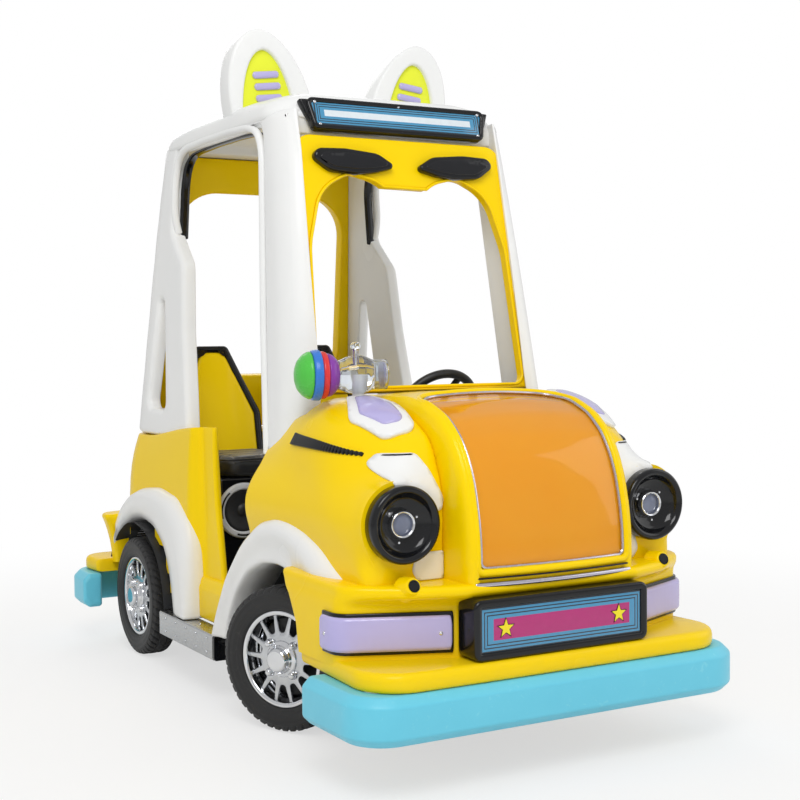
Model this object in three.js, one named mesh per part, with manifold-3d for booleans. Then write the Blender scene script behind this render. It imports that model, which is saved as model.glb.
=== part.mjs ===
// Two-seat fairground ride car: glass-fibre body with canopy, rubber bumpers and battery drive.
// Millimetres. +Z is up, the front of the car is -Y and its left side is +X.
// The origin is on the ground under the middle of the car.

import * as THREE from 'three';
import { mergeVertices } from 'three/addons/utils/BufferGeometryUtils.js';
import Module from 'manifold-3d';

const wasm = await Module();
wasm.setup();

// ---- driving dimensions ----

const gap = 0.3;               // between pieces that touch

// running gear
const tyreDiameter = 370;
const tyreWidth = 85;
const rimDiameter = 250;
const spokeCount = 10;
const wheelbase = 1010;
const frontAxleY = -344;
const track = 780;
const kingpinOffset = 65;      // wheel centre to kingpin axis
const steerAtRest = 27;        // degrees, wheels turned to the left
const steeringArm = 90;
const axleBeam = 40;
const kingpinBoss = 44;

// chassis
const railX = 150;             // centre of a side rail
const railWidth = 40;
const railBottom = 222;
const railHeight = 38;
const floorThickness = 8;
const jackingPadY = [-700, 800];
const padLength = 60;
const padThickness = 5;

// bumpers
const bumperHalfWidth = 536;
const bumperBevel = 20;
const bumperDepth = 60;
const bumperEndY = 1055;
const bumperCorner = 110;
const frontBumperBottom = 125;
const frontBumperSide = 297;
const rearBumperBottom = frontBumperBottom;
const rearBumperSide = 200;
const bumperHeight = 110;

// body
const bodyHalfWidth = 398;
const bandHalfWidth = 486;
const bodyWall = 26;
const cabWall = 34;
const shelfHeight = 42;
const bandTop = 440;
const shoulderZ = 742;
const bonnetZ = 848;
const doorFrontY = -200;
const doorRearY = 96;
const tubTop = 700;
const bonnetArchHalf = 228;
const windowHalf = 200;
const windowThickness = 8;
const archRadius = 235;
const fenderRadius = 370;
const fenderProud = 62;
const fenderEdge = 16;
const fenderRearLimit = 30;
const rearFenderFrontY = 300;
const sillBottom = 190;
const sillTop = 290;
const partitionY = 655;
const jambHalf = 378;
const haunchFrontY = 190;
const rearBandHalf = 478;
const rearHaunchHalf = 415;

// upper cab
const pillarHalfWidth = 398;
const pillarDepthX = 38;
const pillarFrontBase = 694;
const pillarDoorY = -283;      // at the foot
const pillarDoorTopY = -170;
const cabTaper = 0.058;        // each side leans in by this much per unit of height
const roofHalfWidth = 350;
const roofBottom = 1574;
const roofTop = 1650;
const roofRearY = 606;
const roofFrontY = -273;
const screenLean = 10;
const screenThickness = 35;
const screenTop = 1528;
const screenFootY = -421;
const rearLean = 8;
const rearPanelThickness = 50;
const rearPanelFootY = 745;
const earTop = 1861;
const earY = 70;
const earThickness = 72;
const earApexX = 256;
const earOuterX = 348;

// lamps and signs
const headlampDiameter = 176;
const headlampDepth = 32;
const headlampX = 352;
const headlampZ = 580;
const headlampPodFace = -895;
const markerThickness = 16;
const markerBottom = 295;
const markerHeight = 85;
const markerRearY = -790;
const signWidth = 484;
const signHeight = 137;
const signDepth = 72;
const roofSignWidth = 566;
const roofSignHeight = 88;
const roofSignDepth = 30;
const roofSignLean = 16;

// bubble blower
const blowerX = 285;
const blowerY = -580;
const blowerZ = 905;

// seats and controls
const seatX = 184;
const seatWidth = 290;
const seatFrontY = 185;
const seatRearY = 500;
const cushionBottom = 590;
const cushionThickness = 62;
const seatBackTop = 977;
const seatBackThickness = 36;
const seatLean = 14.5;
const seatWall = 12;
const batteryHalf = 210;
const batteryTop = 480;
const steeringRatio = 3;
const steeringWheelRadius = 130;
const gripRadius = 13;
const steeringHub = [165, -205, 792];
const columnAngle = 30;        // above the horizontal

const frameEndY = bumperEndY - bumperDepth - 2 * bumperBevel - gap;
const rearAxleY = frontAxleY + wheelbase;
const axleZ = tyreDiameter / 2;
const wheelX = track / 2;
const kingpinX = wheelX - kingpinOffset;
const railTop = railBottom + railHeight;
const floorZ = railTop + gap;
const shelfZ = frontBumperBottom + bumperHeight + gap;
const frontFaceY = -(bumperEndY - 95);

// ---- helpers ----

const rad = THREE.MathUtils.degToRad;

// A closed geometry as a solid that can be joined and cut.
function solid(geometry) {
  const bare = geometry.clone();
  bare.deleteAttribute('normal');
  bare.deleteAttribute('uv');
  const merged = mergeVertices(bare, 1e-4);
  return new wasm.Manifold(new wasm.Mesh({
    numProp: 3,
    vertProperties: new Float32Array(merged.attributes.position.array),
    triVerts: new Uint32Array(merged.index.array),
  }));
}

function join(...pieces) {
  return pieces.reduce((sum, piece) => sum.add(piece));
}

function cut(body, ...tools) {
  return tools.reduce((rest, tool) => rest.subtract(tool), body);
}

// An outline through [u, v, corner radius] points.
function outline(points) {
  const shape = new THREE.Shape();
  const count = points.length;
  const at = (i) => new THREE.Vector2(points[(i + count) % count][0], points[(i + count) % count][1]);
  for (let i = 0; i < count; i += 1) {
    const corner = at(i);
    const room = Math.min(at(i - 1).distanceTo(corner), at(i + 1).distanceTo(corner)) * 0.49;
    const radius = Math.min(points[i][2] ?? 0, room);
    const back = at(i - 1).sub(corner).setLength(radius).add(corner);
    const ahead = at(i + 1).sub(corner).setLength(radius).add(corner);
    if (i === 0) shape.moveTo(back.x, back.y);
    else shape.lineTo(back.x, back.y);
    if (radius > 0) shape.quadraticCurveTo(corner.x, corner.y, ahead.x, ahead.y);
  }
  shape.closePath();
  return shape;
}

// The same outline with every edge moved inwards by a distance.
function inset(points, distance) {
  const turn = Math.sign(THREE.ShapeUtils.area(points.map(([u, v]) => new THREE.Vector2(u, v))));
  const count = points.length;
  return points.map(([u, v, radius = 0], i) => {
    const [pu, pv] = points[(i + count - 1) % count];
    const [nu, nv] = points[(i + 1) % count];
    const into = new THREE.Vector2(u - pu, v - pv).normalize();
    const out = new THREE.Vector2(nu - u, nv - v).normalize();
    const normalIn = new THREE.Vector2(-into.y, into.x).multiplyScalar(turn);
    const normalOut = new THREE.Vector2(-out.y, out.x).multiplyScalar(turn);
    const middle = normalIn.clone().add(normalOut).normalize();
    const reach = distance / Math.max(middle.dot(normalIn), 0.2);
    return [u + middle.x * reach, v + middle.y * reach, Math.max(radius - distance * 0.6, 0)];
  });
}

function mirrored(points) {
  return [...points, ...points.map(([u, v, radius]) => [-u, v, radius]).reverse()];
}

function extrude(shape, depth, bevel = 0) {
  return new THREE.ExtrudeGeometry(shape, {
    depth: depth - 2 * bevel,
    bevelEnabled: bevel > 0,
    bevelSize: bevel,
    bevelThickness: bevel,
    bevelSegments: 1,
    curveSegments: 6,
  }).translate(0, 0, bevel);
}

function laidAlong(geometry, u, v, w) {
  return geometry.applyMatrix4(new THREE.Matrix4().makeBasis(u, v, w));
}

const unitX = new THREE.Vector3(1, 0, 0);
const unitY = new THREE.Vector3(0, 1, 0);
const unitZ = new THREE.Vector3(0, 0, 1);

// A side view, (y, z), carried from x0 to x1.
function across(points, x0, x1) {
  return solid(laidAlong(extrude(outline(points), x1 - x0), unitY, unitZ, unitX).translate(x0, 0, 0));
}

// A front view, (x, z), carried from y0 to y1.
function along(points, y0, y1) {
  const back = unitY.clone().negate();
  return solid(laidAlong(extrude(outline(points), y1 - y0), unitX, unitZ, back).translate(0, y1, 0));
}

// A plan, (x, y), carried from z0 to z1.
function upright(points, z0, z1) {
  return solid(extrude(outline(points), z1 - z0).translate(0, 0, z0));
}

function block(x0, x1, y0, y1, z0, z1) {
  return solid(new THREE.BoxGeometry(x1 - x0, y1 - y0, z1 - z0)
    .translate((x0 + x1) / 2, (y0 + y1) / 2, (z0 + z1) / 2));
}

// A cylinder along X, Y or Z that starts at a point.
function rod(axis, radius, length, start, segments = 32) {
  const geometry = new THREE.CylinderGeometry(radius, radius, length, segments).translate(0, length / 2, 0);
  if (axis === 'x') geometry.rotateZ(-Math.PI / 2);
  if (axis === 'z') geometry.rotateX(Math.PI / 2);
  return solid(geometry.translate(...start));
}

// A profile of (distance from the axis, place on the axis) turned about X.
function turned(profile, segments) {
  const points = profile.map(([radius, place]) => new THREE.Vector2(radius, place));
  return solid(new THREE.LatheGeometry(points, segments).rotateZ(-Math.PI / 2));
}

function material(color, roughness, metalness = 0) {
  return new THREE.MeshStandardMaterial({ color, roughness, metalness });
}

const yellow = material('#ffdd00', 0.25);
const white = material('#f2f2f2', 0.25);
const cyan = material('#5fc8e0', 0.5);
const black = material('#111111', 0.3);
const rubber = material('#1b1b1b', 0.8);
const chrome = material('#d8d8d8', 0.1, 1);
const stainless = material('#b8b8b8', 0.3, 1);
const steel = material('#3a3a3a', 0.5, 0.6);
const lens = material('#c5bceb', 0.2);
const amber = material('#f2a81e', 0.15);
const blue = material('#3f86ae', 0.4);
const cushionVinyl = material('#161616', 0.45);

const group = new THREE.Group();

function add(name, body, finish, parent = group) {
  const made = body.getMesh();
  const geometry = new THREE.BufferGeometry();
  const positions = new Float32Array((made.vertProperties.length / made.numProp) * 3);
  for (let i = 0; i < positions.length / 3; i += 1) {
    positions.set(made.vertProperties.subarray(i * made.numProp, i * made.numProp + 3), i * 3);
  }
  geometry.setAttribute('position', new THREE.BufferAttribute(positions, 3));
  geometry.setIndex(new THREE.BufferAttribute(new Uint32Array(made.triVerts), 1));
  geometry.computeVertexNormals();
  const mesh = new THREE.Mesh(geometry, finish);
  mesh.name = name;
  parent.add(mesh);
  return mesh;
}

const sides = [['left', 1], ['right', -1]];

// Limits a mirrored piece to one side: x from a to b, outwards.
function sideBlock(side, a, b, y0, y1, z0, z1) {
  return side > 0 ? block(a, b, y0, y1, z0, z1) : block(-b, -a, y0, y1, z0, z1);
}

function sideAcross(side, points, a, b) {
  return side > 0 ? across(points, a, b) : across(points, -b, -a);
}

// Leans a side piece inwards with height, as the cab narrows to its roof.
function tapered(side, piece) {
  const lean = new THREE.Matrix4().set(
    1, 0, -side * cabTaper, side * cabTaper * tubTop,
    0, 1, 0, 0,
    0, 0, 1, 0,
    0, 0, 0, 1);
  return piece.transform(lean.elements);
}

// The inside face of the cab's pillars at a height.
function pillarInnerAt(z) {
  return pillarHalfWidth - pillarDepthX - cabTaper * (z - tubTop);
}

// ---- chassis ----

function chassisFrame() {
  const rails = sides.map(([, side]) => sideBlock(
    side, railX - railWidth / 2, railX + railWidth / 2, -frameEndY, frameEndY, railBottom, railTop));
  const half = railWidth / 2;
  const ends = [-frameEndY, frontAxleY - half, 130, rearAxleY - half, frameEndY - railWidth];
  const ties = ends.map((y) => block(-railX, railX, y, y + railWidth, railBottom, railTop));
  const pads = jackingPadY.flatMap((y) => [railX, -railX].map((x) => block(
    x - half, x + half, y - padLength / 2, y + padLength / 2, railBottom - padThickness, railBottom + 1)));
  return join(...rails, ...ties, ...pads);
}

add('chassis_frame', chassisFrame(), steel);

// The floor runs between the front bulkhead and the partition behind the seats.
const floorFrontY = frontAxleY - 130;
const floorRearY = partitionY - gap;
const floorHalf = bodyHalfWidth - cabWall - gap;

function wheelWell(side, axleY, radius, innerX) {
  const length = bandHalfWidth + 60 - innerX;
  const start = side > 0 ? innerX : -innerX - length;
  return rod('x', radius, length, [start, axleY, axleZ], 40);
}

const wellInnerX = 232;
const rearWellInnerX = wheelX - tyreWidth / 2 - 20;

function floorPan() {
  const plate = block(-floorHalf, floorHalf, floorFrontY, floorRearY, floorZ, floorZ + floorThickness);
  const wells = sides.flatMap(([, side]) => [
    wheelWell(side, frontAxleY, archRadius, wellInnerX),
    wheelWell(side, rearAxleY, archRadius, rearWellInnerX),
  ]);
  return cut(plate, ...wells);
}

add('floor_pan', floorPan(), black);

// ---- bumpers ----

function bumper(end, side, bottom) {
  const outer = bumperHalfWidth - bumperBevel;
  const inner = outer - bumperDepth;
  const tip = end * (bumperEndY - bumperBevel);
  const start = end * (bumperEndY - side);
  const inside = end * (bumperEndY - bumperBevel - bumperDepth);
  const innerCorner = bumperCorner - bumperDepth;
  const points = mirrored([
    [inner, inside, innerCorner], [inner, start], [outer, start], [outer, tip, bumperCorner],
  ]);
  return solid(extrude(outline(points), bumperHeight, bumperBevel).translate(0, 0, bottom));
}

add('front_bumper', bumper(-1, frontBumperSide, frontBumperBottom), cyan);
add('rear_bumper', bumper(1, rearBumperSide, rearBumperBottom), cyan);

// ---- front body ----

const archGap = 60;            // the wide front band starts this far past the arch
const bandStartY = frontAxleY - archRadius - archGap;

const shelfPlan = mirrored([
  [bodyHalfWidth, doorFrontY], [bodyHalfWidth, bandStartY], [bandHalfWidth, bandStartY],
  [bandHalfWidth + 14, -(bumperEndY - 15), 120],
]);
const bandPlan = mirrored([
  [bodyHalfWidth, doorFrontY], [bodyHalfWidth, bandStartY], [bandHalfWidth, bandStartY],
  [bandHalfWidth, -850, 40], [signWidth / 2 + 14, frontFaceY + 12, 20], [signWidth / 2 - 10, frontFaceY],
]);
const ledgePlan = mirrored([
  [bodyHalfWidth, -700], [bandHalfWidth - 4, -700], [bandHalfWidth - 4, -862, 60],
  [355, -958, 40], [bonnetArchHalf, -1000],
]);
const upperFront = mirrored([[428, 330], [428, shoulderZ, 60], [350, bonnetZ, 40]]);
const upperSide = [
  [doorFrontY, 330], [-240, 480, 60], [-292, 700], [-292, bonnetZ],
  [-500, bonnetZ, 120], [-700, 796, 110], [-846, 650, 100], [-872, 330],
];
const upperPlan = mirrored([[428, 0], [428, -690, 110], [404, -880, 120]]);
const archFront = mirrored([[bonnetArchHalf, bandTop - 20], [bonnetArchHalf, 862, 110]]);
const archSide = [
  [-560, bandTop - 20], [-1008, bandTop - 20], [-1004, 560, 80], [-950, 760, 110], [-800, 862, 90],
  [-560, 858],
];

function frontShell(depth) {
  const lift = depth > 0 ? -60 : 0;
  const shelf = upright(inset(shelfPlan, depth), shelfZ + lift, shelfZ + shelfHeight - depth);
  const band = upright(inset(bandPlan, depth), shelfZ + lift, bandTop - depth);
  const ledge = upright(inset(ledgePlan, depth), bandTop - 22 + depth / 2, bandTop + 6 - depth / 2);
  const upper = across(inset(upperSide, depth), -440, 440)
    .intersect(along(inset(upperFront, depth), -1000, 0))
    .intersect(upright(inset(upperPlan, depth), 0, 1000));
  const hood = across(inset(archSide, depth), -300, 300)
    .intersect(along(inset(archFront, depth), -1100, 0));
  return join(shelf, band, ledge, upper, hood);
}

const windowBottom = bandTop + 30;
const dashRearY = -345;
const windowRearY = -690;

function windowPlan(clearance) {
  return mirrored([[windowHalf - clearance, -1100], [windowHalf - clearance, windowRearY - clearance, 90]]);
}

function frontBody() {
  const pods = sides.map(([, side]) => rod(
    'y', headlampDiameter / 2 + 12, 60, [side * headlampX, headlampPodFace, headlampZ], 32));
  const outer = join(frontShell(0), ...pods);
  const inner = cut(frontShell(bodyWall), block(-600, 600, -1100, -900, bandTop - 30, bandTop - 12));
  const below = block(-railX - 90, railX + 90, -frameEndY - 20, 0, 150, bandTop - 90);
  const footwell = block(-bodyHalfWidth + cabWall, bodyHalfWidth - cabWall, -470, 0, 150, 800);
  const windowCut = upright(windowPlan(0), windowBottom, 900);
  const bellyHalf = bodyHalfWidth - bodyWall;
  const belly = block(-bellyHalf, bellyHalf, -840, 0, bandTop - 80, bandTop + 60);
  const pillarSeats = sides.map(([, side]) => tapered(side, sideBlock(
    side, pillarHalfWidth - pillarDepthX - gap, 600, -455 - gap, 0, pillarFrontBase - gap, 1000)));
  const wells = sides.map(([, side]) => wheelWell(side, frontAxleY, archRadius, wellInnerX));
  const dashRoom = block(-pillarHalfWidth, pillarHalfWidth, dashRearY, 0, pillarFrontBase - 30, 900);
  return cut(outer, inner, below, footwell, windowCut, belly, dashRoom, ...pillarSeats, ...wells);
}

add('front_body', frontBody(), yellow);

function bonnetWindow() {
  const place = 6;
  const sheet = cut(
    across(inset(archSide, place), -windowHalf + gap, windowHalf - gap),
    across(inset(archSide, place + windowThickness), -300, 300));
  return sheet.intersect(upright(windowPlan(gap), windowBottom + gap, 900));
}

add('bonnet_window', bonnetWindow(), amber);

// A bare tray behind the bonnet window, held between the hood's side walls.
function displayTray() {
  const half = bonnetArchHalf - bodyWall - gap;
  const outer = block(-half, half, -972, windowRearY, 448, 824);
  const inner = block(-half + 8, half - 8, -1000, windowRearY - 8, 456, 900);
  return cut(outer, inner)
    .intersect(along(inset(archFront, bodyWall + gap), -1100, 0))
    .intersect(across(inset(archSide, bodyWall + gap), -300, 300));
}

add('display_tray', displayTray(), white);

// ---- rear body ----

const rearShelfPlan = mirrored([
  [bodyHalfWidth, rearAxleY + archRadius - 20], [bandHalfWidth + 14, rearAxleY + archRadius - 20],
  [bandHalfWidth + 14, bumperEndY - 15, 120],
]);
const rearBandStartY = 790;
const rearBandPlan = mirrored([
  [bodyHalfWidth, rearBandStartY], [rearBandHalf, rearBandStartY], [rearBandHalf, 880, 50], [300, 940, 60],
]);
const rearUpperFront = mirrored([[rearHaunchHalf, sillTop + 100], [rearHaunchHalf, tubTop, 60]]);
const rearFaceY = 884;
const rearUpperSide = [
  [doorRearY, shelfZ], [doorRearY, tubTop], [800, tubTop, 60], [rearFaceY - 20, 580, 90],
  [rearFaceY, shelfZ],
];
const rearUpperPlan = mirrored([
  [jambHalf, 0], [jambHalf, haunchFrontY, 20], [rearHaunchHalf, haunchFrontY + 34, 30],
  [rearHaunchHalf, rearFaceY, 150],
]);

function rearShell(depth) {
  const drop = depth > 0 ? -60 : 0;
  const shelf = upright(inset(rearShelfPlan, depth), shelfZ + drop, shelfZ + shelfHeight - depth);
  const band = upright(inset(rearBandPlan, depth), shelfZ + drop, bandTop - 8 - depth);
  const tub = across(inset(rearUpperSide, depth), -bodyHalfWidth + depth, bodyHalfWidth - depth);
  const haunch = across(inset(rearUpperSide, depth), -440, 440)
    .intersect(along(inset(rearUpperFront, depth), 60, 1000));
  return join(shelf, band, tub, haunch).intersect(join(
    block(-600, 600, 0, 1100, 0, bandTop), upright(inset(rearUpperPlan, depth), 0, 900)));
}

function rearBody() {
  const cab = block(-bodyHalfWidth + cabWall, bodyHalfWidth - cabWall, 0, partitionY, 150, 900);
  const boot = rearShell(bodyWall).intersect(block(-600, 600, partitionY + cabWall, 1100, 0, 900));
  const bootHalf = bodyHalfWidth - bodyWall;
  const below = block(-bootHalf, bootHalf, partitionY + cabWall, rearFaceY - bodyWall, 150, 400);
  const haunchFill = block(-600, 600, 60, partitionY + cabWall, 0, sillTop + 120);
  const wells = sides.map(([, side]) => wheelWell(side, rearAxleY, archRadius, rearWellInnerX));
  const frameSlot = block(-railX - 60, railX + 60, 0, frameEndY + 10, 150, railTop + 40);
  const sillRoom = sides.map(([, side]) => sideBlock(
    side, bodyHalfWidth - cabWall - 1, 600, -400, rearAxleY - archRadius + 60, 0, sillTop + gap));
  const outer = cut(rearShell(0), cut(haunchFill, block(-bodyHalfWidth, bodyHalfWidth, 0, 900, -1, 900)));
  return cut(outer, cab, boot, below, frameSlot, ...wells, ...sillRoom);
}

add('rear_body', rearBody(), yellow);

// ---- sills, steps and fenders ----

function sill(side) {
  const rearEnd = rearAxleY - archRadius - 6;
  const bar = sideAcross(side, [
    [frontAxleY + archRadius - 40, sillBottom], [frontAxleY + archRadius - 70, sillTop],
    [rearEnd, sillTop], [rearEnd, sillBottom],
  ], bodyHalfWidth - cabWall + gap, bodyHalfWidth);
  return cut(bar, wheelWell(side, frontAxleY, archRadius + gap, wellInnerX),
    wheelWell(side, rearAxleY, archRadius + gap, wellInnerX));
}

// The front fender runs forward to a point on the ledge and down behind the wheel to the sill.
const frontFenderSide = [
  [fenderRearLimit, axleZ + 8], [-70, 350, 140], [-210, 520, 150], [-400, 562, 200], [-620, 540, 140],
  [-775, bandTop + 8], [-600, bandTop - 40], [-500, axleZ + 8],
];

function frontFender(side) {
  const start = bodyHalfWidth + gap;
  const inner = outline(inset(frontFenderSide, fenderEdge));
  const bulged = extrude(inner, fenderProud + fenderEdge, fenderEdge);
  const shift = side > 0 ? start - fenderEdge : -start - fenderProud;
  const blank = solid(laidAlong(bulged, unitY, unitZ, unitX).translate(shift, 0, 0));
  return cut(
    blank.intersect(sideBlock(side, start, start + fenderProud, -900, 100, 0, 700)),
    wheelWell(side, frontAxleY, archRadius, 0), frontShell(-gap));
}

function rearFender(side) {
  const start = bodyHalfWidth + gap;
  const ring = cut(
    rod('x', fenderRadius, fenderProud, [side > 0 ? start : -start - fenderProud, rearAxleY, axleZ], 48),
    wheelWell(side, rearAxleY, archRadius, 0));
  const bevel = solid(new THREE.CylinderGeometry(fenderRadius - 52, fenderRadius + 6, fenderProud, 48)
    .rotateZ(side > 0 ? -Math.PI / 2 : Math.PI / 2)
    .translate(side * (start + fenderProud / 2), rearAxleY, axleZ));
  const extent = block(-600, 600, rearFenderFrontY, rearBandStartY - gap, axleZ + 8, 700);
  return cut(ring.intersect(bevel).intersect(extent), rearShell(-gap));
}

function sideStep(side) {
  return sideBlock(side, bodyHalfWidth - 6, 456, -50, 380, 115, sillBottom - gap);
}

for (const [name, side] of sides) {
  add(`sill_${name}`, sill(side), yellow);
  add(`side_step_${name}`, sideStep(side), stainless);
  add(`front_fender_${name}`, frontFender(side), white);
  add(`rear_fender_${name}`, rearFender(side), white);
}

// ---- upper cab ----

const pillarInner = pillarHalfWidth - pillarDepthX;

function frontPillar(side) {
  return tapered(side, sideAcross(side, [
    [pillarDoorY, pillarFrontBase], [-455, pillarFrontBase], [-455, 742], [-436, 860, 40], [-320, 1480],
    [-296, roofBottom - gap], [pillarDoorTopY, roofBottom - gap],
  ], pillarInner, pillarHalfWidth));
}

function rearPillar(side) {
  const base = tubTop + gap;
  const post = sideAcross(side, [
    [270, base], [342, 1023, 60], [373, 1226, 20], [481, 1311, 30], [481, roofBottom - gap],
    [600, roofBottom - gap], [650, 1388, 60], [717, 995, 40], [750, base],
  ], pillarInner, pillarHalfWidth);
  const slot = sideAcross(side, [[460, 777, 25], [522, 1120, 18], [562, 1120, 22], [632, 777, 30]], 0, 600);
  return tapered(side, cut(post, slot));
}

// The windscreen surround stands in its own leaning plane, its rear edge on the bonnet.
const screenBottom = bonnetZ + gap + screenThickness * Math.sin(rad(screenLean));
const screenHeight = (screenTop - screenBottom) / Math.cos(rad(screenLean));
const screenHalf = pillarInnerAt(screenBottom) - gap;
const screenTopHalf = pillarInnerAt(screenTop) - gap;

function windscreenFrame() {
  const panel = along(
    mirrored([[screenHalf, 0], [screenTopHalf, screenHeight - 6, 40]]), 0, screenThickness);
  const crest = screenHeight - 108;
  const opening = along(mirrored([
    [322, 26, 30], [288, crest - 130, 70], [190, crest, 80], [70, crest, 60], [0, crest - 48, 8],
  ]), -10, screenThickness + 10);
  return cut(panel, opening);
}

const screen = add('windscreen_frame', windscreenFrame(), yellow);
screen.position.set(0, screenFootY, screenBottom);
screen.rotation.x = -rad(screenLean);

const rearPanelRise = rearPanelThickness * Math.sin(rad(rearLean));
const rearPanelTop = roofBottom - gap - rearPanelRise;
const rearPanelHeight = (rearPanelTop - tubTop) / Math.cos(rad(rearLean));

function rearWindowFrame() {
  const panel = along(mirrored([
    [pillarInnerAt(tubTop + 2 * rearPanelRise + gap) - gap, rearPanelRise + gap],
    [pillarInnerAt(rearPanelTop + rearPanelRise) - gap, rearPanelHeight],
  ]), 0, rearPanelThickness);
  const opening = along(mirrored([
    [300, 178, 60], [288, rearPanelHeight - 130, 80],
  ]), -10, rearPanelThickness + 10);
  return cut(panel, opening);
}

const rearPanel = add('rear_window_frame', rearWindowFrame(), yellow);
rearPanel.position.set(0, rearPanelFootY - rearPanelThickness / Math.cos(rad(rearLean)), tubTop);
rearPanel.rotation.x = rad(rearLean);

function roof() {
  const half = roofHalfWidth;
  const front = roofFrontY;
  const brow = roofTop - 16;
  const plan = mirrored([[half, front, 30], [half, roofRearY, 110]]);
  const section = mirrored([[half, roofBottom], [half - 24, roofBottom + 34, 30], [272, roofTop - 6, 40],
    [200, roofTop, 60]]);
  const browY = front + (brow - roofBottom) * Math.tan(rad(roofSignLean));
  const side = [
    [front, roofBottom], [browY, brow, 10], [100, roofTop, 60], [360, roofTop - 4, 60],
    [roofRearY - 22, roofTop - 34, 50], [roofRearY, roofBottom],
  ];
  const skin = upright(plan, roofBottom, roofTop + 10)
    .intersect(along(section, -400, 700))
    .intersect(across(side, -500, 500));
  const headerHalf = pillarInnerAt(roofBottom) - gap;
  const header = block(-headerHalf, headerHalf, front + 3, front + 40, screenTop + 2, roofBottom + 4);
  const ceilingHalf = headerHalf - 10;
  const ceiling = upright(mirrored([
    [ceilingHalf, front + 50, 40], [ceilingHalf, roofRearY - 106, 60],
  ]), screenTop, roofBottom + 34);
  return cut(join(skin, header), ceiling);
}

add('roof', roof(), white);

function ear(side) {
  const base = roofTop - 2;
  const foot = roofBottom + 8;
  const shape = new THREE.Shape();
  shape.moveTo(side * 92, foot);
  shape.lineTo(side * 92, base);
  shape.bezierCurveTo(side * 110, base + 110, side * 190, earTop - 2, side * earApexX, earTop);
  shape.bezierCurveTo(side * 330, earTop - 4, side * 364, base + 110, side * earOuterX, base);
  shape.lineTo(side * (earOuterX - 4), foot);
  shape.closePath();
  const back = unitY.clone().negate();
  const blank = solid(laidAlong(extrude(shape, earThickness), unitX, unitZ, back)
    .translate(0, earY + earThickness / 2, 0));
  const standing = cut(blank, roof().translate([0, 0, gap]));
  return standing.decompose().sort((a, b) => b.volume() - a.volume())[0];
}

for (const [name, side] of sides) {
  add(`front_pillar_${name}`, frontPillar(side), white);
  add(`rear_pillar_${name}`, rearPillar(side), white);
  add(`ear_${name}`, ear(side), white);
}

// ---- signs and lamps ----

function frontSign() {
  const bottom = shelfZ + shelfHeight + 2;
  return along(mirrored([[signWidth / 2, bottom, 18], [signWidth / 2, bottom + signHeight, 18]]),
    frontFaceY - gap - signDepth, frontFaceY - gap);
}

add('front_sign', frontSign(), blue);

const roofSignBody = along(mirrored([
  [roofSignWidth / 2 - 18, 0, 14], [roofSignWidth / 2, roofSignHeight, 18],
]), 0, roofSignDepth);
const roofSign = add('roof_sign', roofSignBody, blue);
const signFoot = screenTop + 3;
const signStandOff = roofSignDepth + gap;
const signBackY = roofFrontY + (signFoot - roofBottom) * Math.tan(rad(roofSignLean));
roofSign.position.set(
  0,
  signBackY - signStandOff * Math.cos(rad(roofSignLean)),
  signFoot + signStandOff * Math.sin(rad(roofSignLean)));
roofSign.rotation.x = -rad(roofSignLean);

function browLamp(side) {
  const v = screenHeight - 78;
  const shape = [[side * 27, v - 6, 8], [side * 90, v + 30, 40], [side * 262, v + 36, 30],
    [side * 276, v + 8, 20], [side * 230, v - 28, 40], [side * 110, v - 28, 40]];
  return along(shape, -24, -gap);
}

function headlamp(side) {
  return rod('y', headlampDiameter / 2, headlampDepth,
    [side * headlampX, headlampPodFace - gap - headlampDepth, headlampZ], 36);
}

function markerLamp(side) {
  const cover = cut(
    upright(inset(bandPlan, -markerThickness), markerBottom, markerBottom + markerHeight),
    upright(inset(bandPlan, -gap), 200, 500));
  return cover.intersect(sideBlock(side, signWidth / 2 + 12, 600, -1100, markerRearY, 200, 500));
}

for (const [name, side] of sides) {
  const brow = add(`brow_lamp_${name}`, browLamp(side), black);
  brow.position.copy(screen.position);
  brow.rotation.copy(screen.rotation);
  add(`headlamp_${name}`, headlamp(side), black);
  add(`marker_lamp_${name}`, markerLamp(side), lens);
}

// ---- seats and dashboard ----

const seatBaseTop = cushionBottom - gap;
const floorTop = floorZ + floorThickness;

function seatBase() {
  const half = seatX + seatWidth / 2;
  const front = seatFrontY + 20;
  const box = block(-half, half, front, seatRearY, floorTop + gap, seatBaseTop);
  const inside = block(-half + seatWall, half - seatWall, front + seatWall, seatRearY - seatWall,
    0, seatBaseTop - seatWall);
  return cut(box, inside);
}

add('seat_base', seatBase(), black);
const battery = block(
  -batteryHalf, batteryHalf, seatFrontY + 60, seatRearY - 60, floorTop + gap, batteryTop);
add('battery_pack', battery, steel);

function seatCushion() {
  const half = seatWidth / 2 - 4;
  return across([
    [seatFrontY, cushionBottom, 10], [seatFrontY + 4, cushionBottom + cushionThickness - 10, 24],
    [seatFrontY + 60, cushionBottom + cushionThickness, 30],
    [seatRearY - 8, cushionBottom + cushionThickness - 14, 10], [seatRearY - 8, cushionBottom],
  ], -half, half);
}

function seatBack() {
  const height = (seatBackTop - cushionBottom) / Math.cos(rad(seatLean));
  const wide = seatWidth / 2;
  return along(mirrored([
    [wide - 4, 0, 10], [wide, 180, 40], [wide - 46, 286, 30], [54, height, 14],
  ]), 0, seatBackThickness);
}

for (const [name, side] of sides) {
  const cushion = add(`seat_cushion_${name}`, seatCushion(), cushionVinyl);
  cushion.position.set(side * seatX, 0, 0);
  const back = add(`seat_back_${name}`, seatBack(), yellow);
  back.position.set(side * seatX, seatRearY + gap, cushionBottom);
  back.rotation.x = -rad(seatLean);
}

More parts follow.
